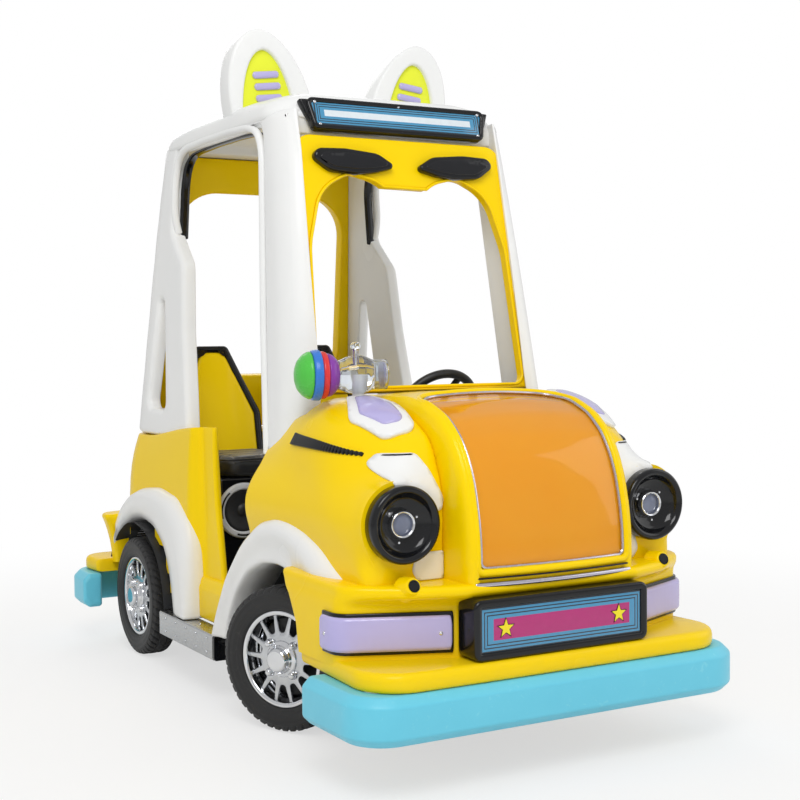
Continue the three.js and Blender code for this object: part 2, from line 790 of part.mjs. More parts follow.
// The dashboard hangs behind the windscreen foot.
const dashTop = 799;
const dashHalf = pillarInnerAt(dashTop) - gap;
const dash = across([
  [-444, 640], [-444, dashTop], [-372, dashTop], [dashRearY, 760, 20], [dashRearY - 7, 650, 20],
], -dashHalf, dashHalf);
add('dashboard', dash, black);

// The column boss runs from the dashboard along the steering axis.
const steering = new THREE.Group();
steering.position.set(...steeringHub);
steering.rotation.x = rad(columnAngle) - Math.PI / 2;
group.add(steering);
steering.updateMatrixWorld(true);
const columnTop = -34;
const columnLength = 150;
const columnTilt = steering.matrixWorld.clone().invert().elements;
const dashInColumn = dash.transform(columnTilt);
const column = cut(
  rod('z', 23, columnLength, [0, 0, columnTop - columnLength]),
  dash.translate([0, gap, 0]).transform(columnTilt),
  dashInColumn);
add('steering_column', column, black, steering);

function steeringWheel() {
  const ringRadius = steeringWheelRadius - gripRadius;
  const grip = solid(new THREE.TorusGeometry(ringRadius, gripRadius, 8, 32));
  const turn = steeringRatio * steerAtRest;
  const spokes = [90, 210, 330].map((angle) => solid(
    new THREE.BoxGeometry(ringRadius, 26, 9)
      .translate(ringRadius / 2, 0, -4).rotateZ(rad(angle + turn))));
  return join(grip, ...spokes, rod('z', 34, 36, [0, 0, columnTop + 0.5], 24));
}

add('steering_wheel', steeringWheel(), black, steering);

// ---- axles, knuckles and wheels ----

const bossHalf = 35;
const stubRadius = 15;
const pinGap = 0.5;
const knucklePlate = 12;
const hubInnerFace = -22;      // from the wheel's middle plane

function frontAxle() {
  const beam = block(-kingpinX, kingpinX, frontAxleY - axleBeam / 2, frontAxleY + axleBeam / 2,
    axleZ - axleBeam / 2, axleZ + axleBeam / 2);
  const bosses = sides.map(([, side]) => rod(
    'z', kingpinBoss / 2, 2 * bossHalf, [side * kingpinX, frontAxleY, axleZ - bossHalf], 28));
  const seats = sides.map(([, side]) => sideBlock(side, railX - 18, railX + 18,
    frontAxleY - 18, frontAxleY + 18, axleZ, railBottom - gap));
  return join(beam, ...bosses, ...seats);
}

add('front_axle', frontAxle(), steel);

function rearAxle() {
  const reach = wheelX + hubInnerFace - pinGap;
  const tube = rod('x', 26, 2 * reach, [-reach, rearAxleY, axleZ], 24);
  const seats = sides.map(([, side]) => sideBlock(side, railX - 18, railX + 18,
    rearAxleY - 18, rearAxleY + 18, axleZ, railBottom - gap));
  const housing = rod('x', 62, 90, [-45, rearAxleY, axleZ - 12], 28);
  const motor = rod('y', 52, 170, [0, rearAxleY - 215, axleZ - 18], 28);
  return cut(join(tube, ...seats, housing, motor), block(-120, 120, 300, 900, railBottom - gap, 300));
}

add('rear_axle', rearAxle(), steel);

// A yoke round the kingpin boss, with the stub axle outwards and the steering arm to the rear.
function knuckle(side) {
  const inner = kingpinBoss / 2 + 6;
  const outer = inner + 6;
  const armZ = -bossHalf - pinGap - knucklePlate;
  const web = sideBlock(side, inner, outer, -20, 20, armZ, -armZ);
  const cheeks = [bossHalf + pinGap, armZ].map((z) => join(
    rod('z', kingpinBoss / 2, knucklePlate, [0, 0, z], 28),
    sideBlock(side, 0, outer, -18, 18, z, z + knucklePlate)));
  const stubLength = kingpinOffset + hubInnerFace - pinGap - inner;
  const stub = rod('x', stubRadius, stubLength, [side > 0 ? inner : -inner - stubLength, 0, 0], 24);
  const arm = join(
    block(-11, 11, 0, steeringArm, armZ, armZ + knucklePlate),
    rod('z', 15, knucklePlate, [0, steeringArm, armZ], 24));
  return join(web, ...cheeks, stub, arm);
}

const rimRadius = rimDiameter / 2;
const tyreRadius = tyreDiameter / 2;
const beadHalf = tyreWidth / 2 - 8;
const tyreProfile = [
  [rimRadius, -beadHalf], [rimRadius + 30, -tyreWidth / 2], [tyreRadius - 13, 4 - tyreWidth / 2],
  [tyreRadius - 2, -tyreWidth / 4], [tyreRadius, 0], [tyreRadius - 2, tyreWidth / 4],
  [tyreRadius - 13, tyreWidth / 2 - 4], [rimRadius + 30, tyreWidth / 2], [rimRadius, beadHalf],
  [rimRadius, -beadHalf],
];
const rimProfile = [
  [0, hubInnerFace], [42, hubInnerFace], [42, 8], [rimRadius - 13, 8], [rimRadius - 13, -beadHalf],
  [rimRadius - gap, -beadHalf], [rimRadius - gap, beadHalf - 3], [rimRadius - 15, 22], [50, 26],
  [30, 42], [24, 54], [0, 56],
];

function spokeWindows() {
  const outerEdge = rimRadius - 25;
  const window = outline([[58, -7], [outerEdge, -14], [outerEdge, 14], [58, 7]]);
  return Array.from({ length: spokeCount }, (_, i) => {
    const geometry = extrude(window, 60).rotateZ((i * 2 * Math.PI) / spokeCount).translate(0, 0, -5);
    return solid(geometry.rotateY(Math.PI / 2));
  });
}

const tyre = turned(tyreProfile, 32);
const rim = cut(turned(rimProfile, 32), ...spokeWindows());

function addWheel(name, side, parent, position) {
  const wheel = new THREE.Group();
  wheel.position.set(...position);
  wheel.rotation.z = side > 0 ? 0 : Math.PI;
  parent.add(wheel);
  add(`tyre_${name}`, tyre, rubber, wheel);
  add(`rim_${name}`, rim, chrome, wheel);
}

for (const [name, side] of sides) {
  const corner = new THREE.Group();
  corner.position.set(side * kingpinX, frontAxleY, axleZ);
  corner.rotation.z = rad(steerAtRest);
  group.add(corner);
  add(`knuckle_${name}`, knuckle(side), steel, corner);
  addWheel(`front_${name}`, side, corner, [side * kingpinOffset, 0, 0]);
  addWheel(`rear_${name}`, side, group, [side * wheelX, rearAxleY, axleZ]);
}

// The tie rod runs just under the two arms' eyes.
function tieRod() {
  const turn = rad(steerAtRest);
  const shift = -steeringArm * Math.sin(turn);
  const y = frontAxleY + steeringArm * Math.cos(turn);
  const top = axleZ - bossHalf - knucklePlate - 2 * pinGap;
  const ends = sides.map(([, side]) => rod('z', 14, 12, [side * kingpinX + shift, y, top - 12], 24));
  return join(block(-kingpinX + shift, kingpinX + shift, y - 8, y + 8, top - 12, top), ...ends);
}

add('tie_rod', tieRod(), steel);

// ---- toy bubble blower on the bonnet's right corner ----

function bubbleBlower() {
  const place = [-blowerX, blowerY, blowerZ];
  const body = turned([
    [0, -158], [36, -150], [58, -124], [62, -96], [54, -66], [36, -48], [46, -20], [48, 10],
    [36, 34], [36, 70], [0, 70],
  ], 24).rotate([0, 0, -14]).translate(place);
  const foot = cut(
    rod('z', 15, 140, [-blowerX, blowerY, blowerZ - 140], 20),
    frontShell(0).translate([0, 0, gap]));
  const wand = rod('z', 9, 60, [-blowerX - 6, blowerY, blowerZ + 20], 16);
  return join(body, foot.decompose().sort((a, b) => b.volume() - a.volume())[0], wand);
}

add('bubble_blower', bubbleBlower(), lens);

export default group;
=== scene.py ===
import math
import bpy
import bmesh
import numpy as np
from mathutils import Matrix, Vector
from mathutils.geometry import delaunay_2d_cdt


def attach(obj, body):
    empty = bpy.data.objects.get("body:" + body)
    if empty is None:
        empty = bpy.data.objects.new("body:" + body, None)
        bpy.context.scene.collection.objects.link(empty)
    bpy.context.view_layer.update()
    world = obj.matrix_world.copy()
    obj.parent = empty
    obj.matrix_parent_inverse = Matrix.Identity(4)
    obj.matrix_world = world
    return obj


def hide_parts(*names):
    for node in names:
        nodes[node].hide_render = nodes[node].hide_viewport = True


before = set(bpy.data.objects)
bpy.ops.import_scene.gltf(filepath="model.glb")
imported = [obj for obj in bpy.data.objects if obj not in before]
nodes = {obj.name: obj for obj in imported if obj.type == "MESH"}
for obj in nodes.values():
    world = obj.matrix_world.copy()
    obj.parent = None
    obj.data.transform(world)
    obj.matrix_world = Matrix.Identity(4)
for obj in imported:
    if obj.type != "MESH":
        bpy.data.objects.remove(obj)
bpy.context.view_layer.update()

scene = bpy.context.scene
mm = 0.001
pi = math.pi
sides = (("left", 1), ("right", -1))
# the three directions of a board laid to face the front, the side or the ground
facingFront = ((1, 0, 0), (0, 0, 1), (0, 1, 0))
facingSide = ((0, 1, 0), (0, 0, 1), (-1, 0, 0))
facingDown = ((1, 0, 0), (0, 1, 0), (0, 0, -1))


cameraSetup = {"place": (-1.889, -3.591, 0.989), "yaw": 29.7516, "down": 2.4609, "roll": -0.5132, "lens": 63.15}


def makeCamera(setup):
    yaw, down, roll = (math.radians(setup[k]) for k in ("yaw", "down", "roll"))
    ahead = np.array([math.sin(yaw) * math.cos(down), math.cos(yaw) * math.cos(down), -math.sin(down)])
    right = np.array([math.cos(yaw), -math.sin(yaw), 0.0])
    up = np.cross(right, ahead)
    turnedRight = math.cos(roll) * right + math.sin(roll) * up
    turnedUp = -math.sin(roll) * right + math.cos(roll) * up
    data = bpy.data.cameras.new("camera")
    data.lens = setup["lens"]
    data.sensor_width = 36
    data.clip_start, data.clip_end = 0.05, 60
    camera = bpy.data.objects.new("camera", data)
    scene.collection.objects.link(camera)
    rows = np.column_stack([turnedRight, turnedUp, -ahead, setup["place"]])
    camera.matrix_world = Matrix([*rows.tolist(), [0, 0, 0, 1]])
    scene.camera = camera


makeCamera(cameraSetup)


def rounded(points, cornerSteps=8, edgeSteps=1, closed=True):
    # a polygon of (u, v, radius) with true arcs at its corners: the arc starts radius * tan(turn / 2)
    # before the corner, and every corner and edge gets the same number of points
    flat = np.array([(p[0], p[1]) for p in points], float)
    radii = [p[2] if len(p) > 2 else 0 for p in points]
    count, line = len(flat), []
    for i in range(count):
        here, last, after = flat[i], flat[i - 1], flat[(i + 1) % count]
        if not closed and i in (0, count - 1):
            line.append(here[None])
            continue
        a, b = last - here, after - here
        la, lb = np.linalg.norm(a), np.linalg.norm(b)
        a, b = a / la, b / lb
        opening = math.acos(np.clip(a @ b, -1, 1))
        reach = min(radii[i] / max(math.tan(opening / 2), 1e-6), la * 0.49, lb * 0.49)
        radius = reach * math.tan(opening / 2)
        if radius < 1e-6 or abs(opening - pi) < 1e-3:
            line.append(np.repeat(here[None], cornerSteps + 1, 0) if radius < 1e-6 else
                        here + np.outer(np.linspace(1, -1, cornerSteps + 1), a * reach))
            continue
        middle = (a + b) / np.linalg.norm(a + b)
        centre = here + middle * radius / math.sin(opening / 2)
        start, end = here + a * reach - centre, here + b * reach - centre
        span = math.acos(np.clip(start @ end / radius ** 2, -1, 1))
        t = np.linspace(0, 1, cornerSteps + 1)[:, None]
        arc = (np.sin((1 - t) * span) * start + np.sin(t * span) * end) / max(math.sin(span), 1e-9)
        line.append(centre + arc)
    out = []
    for i, piece in enumerate(line):
        out.append(piece)
        if i + 1 < count or closed:
            after = line[(i + 1) % count][0]
            t = np.linspace(0, 1, edgeSteps + 1)[1:-1, None]
            out.append(piece[-1] * (1 - t) + after * t)
    return np.vstack(out)


def mirrored(points):
    # the points of a right half followed by its left half's, back to the start
    return [*points, *[(-p[0], *p[1:]) for p in reversed(points)]]


def ellipse(a, b, steps):
    # (a cos t, b sin t)
    t = np.linspace(0, 2 * pi, steps, endpoint=False)
    return np.column_stack([a * np.cos(t), b * np.sin(t)])


def straight(x, y, z, count):
    # count points on a line; each coordinate is one number or a pair of ends
    return np.column_stack([np.linspace(*(v if isinstance(v, tuple) else (v, v)), count) for v in (x, y, z)])


def evenly(line, spacing, closed=False):
    # the same line with its points an equal distance apart
    line = np.vstack([line, line[:1]]) if closed else np.asarray(line, float)
    along = np.r_[0, np.cumsum(np.linalg.norm(np.diff(line, axis=0), axis=1))]
    count = max(int(round(along[-1] / spacing)), 3)
    t = np.linspace(0, along[-1], count + 1)
    t = t[:-1] if closed else t
    return np.column_stack([np.interp(t, along, line[:, k]) for k in range(line.shape[1])])


def smoothed(line, spacing, times, last=None):
    # an open line, cut into equal steps, whose inner points move that many times to a quarter, half,
    # quarter average of their neighbours, and cut again if a last spacing is given
    line = evenly(np.array(line, float), spacing)
    for _ in range(times):
        line[1:-1] = 0.25 * line[:-2] + 0.5 * line[1:-1] + 0.25 * line[2:]
    return evenly(line, last) if last else line


def gridFaces(rows, columns, loopRows=False, loopColumns=False, keep=None):
    # one quad between each pair of neighbouring rows and columns
    i = np.arange(rows if loopRows else rows - 1)[:, None]
    j = np.arange(columns if loopColumns else columns - 1)[None, :]
    nextI, nextJ = (i + 1) % rows, (j + 1) % columns
    quads = np.stack(np.broadcast_arrays(
        i * columns + j, nextI * columns + j, nextI * columns + nextJ, i * columns + nextJ), -1)
    quads = quads.reshape(-1, 4)
    return quads if keep is None else quads[keep.reshape(-1)]


def sheet(grid, loopColumns=False):
    # a grid of points with its faces
    return grid, gridFaces(*grid.shape[:2], False, loopColumns)


def addPiece(name, points, faces, finish, slot, body="chassis", stands=(), sharp=35, closed=True,
             away=None, wall=0):
    # one object at the origin from points in millimetres; doubles are merged, which closes poles and
    # seams. An open skin is turned so that its faces look away from the point given
    data = bpy.data.meshes.new(name)
    points = np.asarray(points, float).reshape(-1, 3) * mm
    data.from_pydata(points.tolist(), [], faces.tolist() if hasattr(faces, "tolist") else faces)
    made = bmesh.new()
    made.from_mesh(data)
    bmesh.ops.remove_doubles(made, verts=made.verts, dist=1e-5)
    bmesh.ops.dissolve_degenerate(made, edges=made.edges, dist=1e-6)
    loose = [v for v in made.verts if not v.link_faces]
    bmesh.ops.delete(made, geom=loose, context="VERTS")
    if closed:
        bmesh.ops.recalc_face_normals(made, faces=made.faces)
    elif away is not None:
        middle = Vector(away) * mm
        facing = sum(f.normal.dot(f.calc_center_median() - middle) * f.calc_area() for f in made.faces)
        if facing < 0:
            bmesh.ops.reverse_faces(made, faces=made.faces)
    made.to_mesh(data)
    made.free()
    data.polygons.foreach_set("use_smooth", np.ones(len(data.polygons), bool))
    data.set_sharp_from_angle(angle=math.radians(sharp))
    thing = bpy.data.objects.new(name, data)
    scene.collection.objects.link(thing)
    data.materials.append(finish)
    if wall:
        shell = thing.modifiers.new("wall", "SOLIDIFY")
        shell.thickness, shell.offset = wall * mm, -1
    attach(thing, body)
    if stands:
        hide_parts(*stands)
    return thing


def addBoth(name, points, faces, finish, slot, body="chassis", stands=(), **more):
    # a left piece and its mirror image; the names of nodes and bodies get the side added
    points = np.asarray(points, float).reshape(-1, 3)
    faces = faces.tolist() if hasattr(faces, "tolist") else faces
    centre = more.pop("away", None)
    made = []
    for side, sign in sides:
        flipped = [f[::-1] for f in faces] if sign < 0 else faces
        if centre is not None:
            more["away"] = (sign * centre[0], centre[1], centre[2])
        made.append(addPiece(
            f"{name}_{side}", points * [sign, 1, 1], flipped, finish, slot,
            body if body == "chassis" else f"{body}_{side}", [f"{n}_{side}" for n in stands], **more))
    return made


def joined(*parts):
    # several (points, faces) as one
    points, faces, start = [], [], 0
    for p, f in parts:
        p = np.asarray(p, float).reshape(-1, 3)
        points.append(p)
        faces += [[start + k for k in face] for face in (f.tolist() if hasattr(f, "tolist") else f)]
        start += len(p)
    return np.vstack(points), faces


def carried(path, profile, up=(0, 0, 1), loop=False, ends=0.0):
    # profile (out, up) carried along path: P = path + side * out + top * up, side = tangent x up.
    # ends rounds both ends over that many millimetres and closes them on the profile's middle.
    path, profile = np.asarray(path, float), np.asarray(profile, float)
    if loop:
        tangent = np.roll(path, -1, 0) - np.roll(path, 1, 0)
    else:
        tangent = np.gradient(path, axis=0)
    tangent /= np.linalg.norm(tangent, axis=1)[:, None]
    upward = np.broadcast_to(np.asarray(up, float), path.shape)
    side = np.cross(tangent, upward)
    side /= np.linalg.norm(side, axis=1)[:, None]
    top = np.cross(side, tangent)
    points = path[:, None] + side[:, None] * profile[None, :, :1] + top[:, None] * profile[None, :, 1:2]
    if not loop:
        middle = profile.mean(0)
        half = max(np.abs(profile - middle).min(1).max(), np.ptp(profile, axis=0).min() / 2)
        rows = []
        for k in ([0.25, 0.5, 0.75, 1.0] if ends else [1.0]):
            angle = k * pi / 2
            size = 1 - (1 - math.cos(angle)) * min(ends / half, 1) if ends else 1
            rows.append((size, math.sin(angle) * ends))
        rows.append((0.0, ends))
        heads, tails = [], []
        for size, shift in rows:
            ring = (profile - middle) * size + middle
            for at, sign, store in ((0, -1, heads), (-1, 1, tails)):
                store.append(path[at] + tangent[at] * shift * sign
                             + side[at] * ring[:, :1] + top[at] * ring[:, 1:2])
        points = np.concatenate([heads[::-1], points, tails])
    rows, columns = points.shape[:2]
    return points.reshape(-1, 3), gridFaces(rows, columns, loop, True)


def tubed(path, radius, corners=12, loop=False, up=(0, 0, 1)):
    # a circle of that radius carried along the path
    return carried(path, ellipse(radius, radius, corners), up, loop, ends=radius * 0.5)


def turned(profile, centre, axis, steps=48):
    # profile (radius, along) turned about an axis: P = centre + axis * along + radius (cos a * e1 + sin a * e2)
    profile = np.asarray(profile, float)
    axis = np.asarray(axis, float) / np.linalg.norm(axis)
    first = np.cross(axis, (0, 0, 1) if abs(axis[2]) < 0.9 else (1, 0, 0))
    first /= np.linalg.norm(first)
    second = np.cross(axis, first)
    angle = np.linspace(0, 2 * pi, steps, endpoint=False)
    spin = np.cos(angle)[:, None] * first + np.sin(angle)[:, None] * second
    points = (np.asarray(centre, float) + profile[None, :, 1:2] * axis
              + profile[None, :, :1] * spin[:, None])
    return points.reshape(-1, 3), gridFaces(steps, len(profile), True)


def insideOf(loops, points):
    # even-odd test of points against closed loops
    inside = np.zeros(len(points), bool)
    x, y = points[:, 0], points[:, 1]
    for loop in loops:
        for a, b in zip(loop, np.roll(loop, -1, 0)):
            crosses = (a[1] > y) != (b[1] > y)
            with np.errstate(divide="ignore", invalid="ignore"):
                at = (b[0] - a[0]) * (y - a[1]) / (b[1] - a[1]) + a[0]
            inside ^= crosses & (x < at)
    return inside


def insetLoop(loop, distance):
    # every point moved towards the loop's inside along its averaged normal
    ahead = np.roll(loop, -1, 0) - loop
    ahead /= np.maximum(np.linalg.norm(ahead, axis=1), 1e-9)[:, None]
    back = np.roll(ahead, 1, 0)
    area = np.sum(loop[:, 0] * np.roll(loop[:, 1], -1) - np.roll(loop[:, 0], -1) * loop[:, 1])
    sign = 1 if area > 0 else -1
    n1 = np.column_stack([-ahead[:, 1], ahead[:, 0]]) * sign
    n0 = np.column_stack([-back[:, 1], back[:, 0]]) * sign
    middle = n0 + n1
    middle /= np.maximum(np.linalg.norm(middle, axis=1), 1e-9)[:, None]
    reach = distance / np.maximum(np.sum(middle * n1, axis=1), 0.5)
    return loop + middle * reach[:, None]


def cleaned(loop):
    # the loop without repeated or undefined points
    keep = np.linalg.norm(loop - np.roll(loop, 1, 0), axis=1) > 1e-4
    return loop[keep]


def filled(flat, edges, loops):
    # the triangles of a flat outline: Delaunay with its edges kept, less those outside the loops
    corners, _, tris, *_ = delaunay_2d_cdt(flat.tolist(), edges, [], 0, 1e-4)
    corners = np.array([tuple(c) for c in corners])
    tris = np.array([t for t in tris if len(t) == 3])
    return corners, tris[insideOf(loops, corners[tris].mean(1))]


def plate(outer, depth, edge, holes=(), backEdge=None, spacing=0, steps=4):
    # a flat board: u, v in its plane, w from 0 at the front to depth. Its rims are quarter circles,
    # inset = edge (1 - sin a), w = edge (1 - cos a), and the flat faces are triangulated
    backEdge = edge if backEdge is None else backEdge
    loops = [cleaned(np.asarray(outer, float)), *[cleaned(np.asarray(h, float)) for h in holes]]
    rim = [(edge * (1 - math.sin(a)), edge * (1 - math.cos(a))) for a in np.linspace(0, pi / 2, steps + 1)]
    rim += [(backEdge * (1 - math.cos(a)), depth - backEdge * (1 - math.sin(a)))
            for a in np.linspace(0, pi / 2, steps + 1)]
    parts = []
    for index, loop in enumerate(loops):
        rings = []
        for inset, w in rim:
            ring = insetLoop(loop, inset if index == 0 else -inset)
            rings.append(np.column_stack([ring, np.full(len(ring), w)]))
        parts.append(sheet(np.array(rings), True))
    for inset, w, flip in ((edge, 0.0, False), (backEdge, depth, True)):
        edges, flat, start = [], [], 0
        rings = [insetLoop(loop, inset if k == 0 else -inset) for k, loop in enumerate(loops)]
        for ring in rings:
            flat.append(ring)
            count = len(ring)
            edges += [(start + i, start + (i + 1) % count) for i in range(count)]
            start += count
        if spacing:
            lo, hi = rings[0].min(0), rings[0].max(0)
            u, v = np.meshgrid(np.arange(lo[0] + spacing / 2, hi[0], spacing),
                               np.arange(lo[1] + spacing / 2, hi[1], spacing))
            extra = np.column_stack([u.ravel(), v.ravel()])
            extra = extra[insideOf(rings, extra)]
            near = np.array([np.min(np.linalg.norm(np.vstack(rings) - p, axis=1)) for p in extra])
            flat.append(extra[near > spacing * 0.4] if len(extra) else extra)
        corners, tris = filled(np.vstack(flat), edges, rings)
        parts.append((np.column_stack([corners, np.full(len(corners), w)]), tris[:, ::-1] if flip else tris))
    return joined(*parts)


def leaning(degrees):
    # the across, up and back directions of a board that leans back by that angle
    a = math.radians(degrees)
    return np.array([(1, 0, 0), (0, math.sin(a), math.cos(a)), (0, math.cos(a), -math.sin(a))])


def laid(shape, u, v, w, origin=(0, 0, 0)):
    # moves a board from its own plane: P = origin + a u + b v + c w
    points, faces = shape
    return points @ np.array([u, v, w], float) + np.asarray(origin, float), faces


def softMin(a, b, k):
    # smooth union of two distances over a width k
    h = np.clip(0.5 + 0.5 * (b - a) / k, 0, 1)
    return b + (a - b) * h - k * h * (1 - h)


def softMax(a, b, k):
    return -softMin(-a, -b, k)


def outTo(distance, origins, directions, far, turns=26):
    # the surface distance = 0 along each direction from its origin, by halving the span
    near, reach = np.zeros(directions.shape[:-1]), np.full(directions.shape[:-1], float(far))
    for _ in range(turns):
        half = (near + reach) / 2
        inside = distance(origins + directions * half[..., None]) < 0
        near, reach = np.where(inside, half, near), np.where(inside, reach, half)
    return origins + directions * near[..., None]


def through(pairs, at):
    # a smooth curve through (at, value) pairs
    pairs = np.array(sorted(pairs), float)
    x, y = pairs[:, 0], pairs[:, 1]
    slope = np.gradient(y, x)
    at = np.clip(at, x[0], x[-1])
    i = np.clip(np.searchsorted(x, at) - 1, 0, len(x) - 2)
    width = x[i + 1] - x[i]
    t = (at - x[i]) / width
    return ((2 * t ** 3 - 3 * t ** 2 + 1) * y[i] + (t ** 3 - 2 * t ** 2 + t) * width * slope[i]
            + (3 * t ** 2 - 2 * t ** 3) * y[i + 1] + (t ** 3 - t ** 2) * width * slope[i + 1])


print("tools ready")


def toLinear(hexColour):
    # sRGB to linear: c / 12.92 below 0.04045, else ((c + 0.055) / 1.055) ^ 2.4
    c = np.array([int(hexColour[i:i + 2], 16) for i in (1, 3, 5)]) / 255
    return (*np.where(c <= 0.04045, c / 12.92, ((c + 0.055) / 1.055) ** 2.4).tolist(), 1.0)


def addNode(tree, kind, inputs=None, **settings):
    made = tree.nodes.new("ShaderNode" + kind)
    for key, value in settings.items():
        setattr(made, key, value)
    for key, value in (inputs or {}).items():
        if isinstance(value, bpy.types.NodeSocket):
            tree.links.new(value, made.inputs[key])
        else:
            made.inputs[key].default_value = value
    return made


def newFinish(name, **sockets):
    # a material, its shader and its Object coordinates; sockets are the shader's own constants
    finish = bpy.data.materials.new(name)
    finish.use_nodes = True
    tree = finish.node_tree
    shader = tree.nodes["Principled BSDF"]
    for key, value in sockets.items():
        shader.inputs[key.replace("_", " ")].default_value = value
    return finish, tree, shader, addNode(tree, "TexCoord").outputs["Object"]


def tinted(tree, shader, factor, low, high):
    # the base colour between two tones
    tone = addNode(tree, "Mix", {0: factor, 6: toLinear(low), 7: toLinear(high)}, data_type="RGBA")
    tree.links.new(tone.outputs[2], shader.inputs["Base Color"])
    return tone


def bumped(tree, shader, height, strength, distance):
    bump = addNode(tree, "Bump", {"Height": height, "Strength": strength, "Distance": distance})
    tree.links.new(bump.outputs["Normal"], shader.inputs["Normal"])
    return bump


def varied(tree, shader, factor, low, high, socket="Roughness"):
    spread = addNode(tree, "MapRange", {0: factor, 3: low, 4: high})
    tree.links.new(spread.outputs[0], shader.inputs[socket])
    return spread


def gelcoat(name, colour, shade, dust="#8c8468"):
    # polyester gelcoat from a polished mould: a deep wet gloss, faint orange peel 5 mm across,
    # a slow drift of tone, and road dust that thickens towards the ground
    finish, tree, shader, place = newFinish(
        name, IOR=1.5, Coat_Weight=0.1, Coat_Roughness=0.03, Specular_IOR_Level=0.12)
    drift = addNode(tree, "TexNoise", {"Vector": place, "Scale": 3.0, "Detail": 3.0}).outputs[0]
    tone = addNode(tree, "Mix", {0: drift, 6: toLinear(colour), 7: toLinear(shade)}, data_type="RGBA")
    height = addNode(tree, "SeparateXYZ", {0: place}).outputs[2]
    low = addNode(tree, "MapRange", {0: height, 1: 0.42, 2: 0.12, 3: 0.0, 4: 0.16}).outputs[0]
    speck = addNode(tree, "TexNoise", {"Vector": place, "Scale": 38.0, "Detail": 5.0}).outputs[0]
    dusty = addNode(tree, "Math", {0: low, 1: speck}, operation="MULTIPLY").outputs[0]
    soiled = addNode(tree, "Mix", {0: dusty, 6: tone.outputs[2], 7: toLinear(dust)}, data_type="RGBA")
    tree.links.new(soiled.outputs[2], shader.inputs["Base Color"])
    varied(tree, shader, drift, 0.22, 0.3)
    peel = addNode(tree, "TexNoise", {"Vector": place, "Scale": 210.0, "Detail": 1.0}).outputs[0]
    bumped(tree, shader, peel, 0.01, 0.0002)
    return finish


def mouldedGloss(name, low, high, roughness=0.12, grain=420.0, depth=0.06):
    # injection-moulded plastic or enamel: an even gloss with flow marks and fine handling scratches
    finish, tree, shader, place = newFinish(
        name, IOR=1.49, Coat_Weight=0.18, Coat_Roughness=0.04, Specular_IOR_Level=0.32)
    flow = addNode(tree, "TexNoise", {"Vector": place, "Scale": 14.0, "Detail": 6.0}).outputs[0]
    tinted(tree, shader, flow, low, high)
    varied(tree, shader, flow, roughness * 0.7, roughness * 1.7)
    fine = addNode(tree, "TexNoise", {"Vector": place, "Scale": grain, "Detail": 2.0}).outputs[0]
    bumped(tree, shader, fine, depth, 0.0004)
    return finish


def castRubber(name, low, high, roughness, grain, depth, scuff):
    # vulcanised or cast rubber: a matt skin with 1 mm pimples and pale scuffs where it is hit
    finish, tree, shader, place = newFinish(name, IOR=1.52, Sheen_Weight=0.12, Sheen_Roughness=0.5)
    cloud = addNode(tree, "TexNoise", {"Vector": place, "Scale": 9.0, "Detail": 8.0, "Roughness": 0.65}).outputs[0]
    tone = tinted(tree, shader, cloud, low, high)
    marks = addNode(tree, "TexNoise", {"Vector": place, "Scale": 55.0, "Detail": 7.0, "Distortion": 1.5}).outputs[0]
    worn = addNode(tree, "MapRange", {0: marks, 1: 0.62, 2: 0.72, 3: 0.0, 4: 0.35}).outputs[0]
    rubbed = addNode(tree, "Mix", {0: worn, 6: tone.outputs[2], 7: toLinear(scuff)}, data_type="RGBA")
    tree.links.new(rubbed.outputs[2], shader.inputs["Base Color"])
    varied(tree, shader, cloud, roughness - 0.08, roughness + 0.1)
    pimple = addNode(tree, "TexVoronoi", {"Vector": place, "Scale": grain}).outputs[0]
    bumped(tree, shader, pimple, depth, 0.0005)
    return finish


def metal(name, low, high, roughness, stretch=(1, 1, 1), grain=60.0, depth=0.03):
    # plated, cast or brushed metal: colour from reflections, faint brushing or clouding in the gloss
    finish, tree, shader, place = newFinish(name, Metallic=1.0)
    squeezed = addNode(tree, "Mapping", {"Vector": place, "Scale": stretch}).outputs[0]
    haze = addNode(tree, "TexNoise", {"Vector": squeezed, "Scale": grain, "Detail": 6.0}).outputs[0]
    tinted(tree, shader, haze, low, high)
    varied(tree, shader, haze, roughness * 0.6, roughness * 1.5)
    bumped(tree, shader, haze, depth, 0.0003)
    return finish


def clearPlastic(name, colour, weight, roughness=0.05, flute=0.0):
    # moulded acrylic or polycarbonate: light passes through and picks up the dye; flutes are 9 mm apart
    finish, tree, shader, place = newFinish(
        name, IOR=1.49, Transmission_Weight=weight, Roughness=roughness, Coat_Weight=0.3)
    cloud = addNode(tree, "TexNoise", {"Vector": place, "Scale": 7.0, "Detail": 3.0}).outputs[0]
    tinted(tree, shader, cloud, colour[0], colour[1])
    if flute:
        wave = addNode(tree, "TexWave", {"Vector": place, "Scale": 17.0, "Distortion": 0.0}, bands_direction="X")
        bumped(tree, shader, wave.outputs[1], flute, 0.001)
    else:
        bumped(tree, shader, addNode(tree, "TexNoise", {"Vector": place, "Scale": 120.0}).outputs[0], 0.03, 0.0004)
    return finish


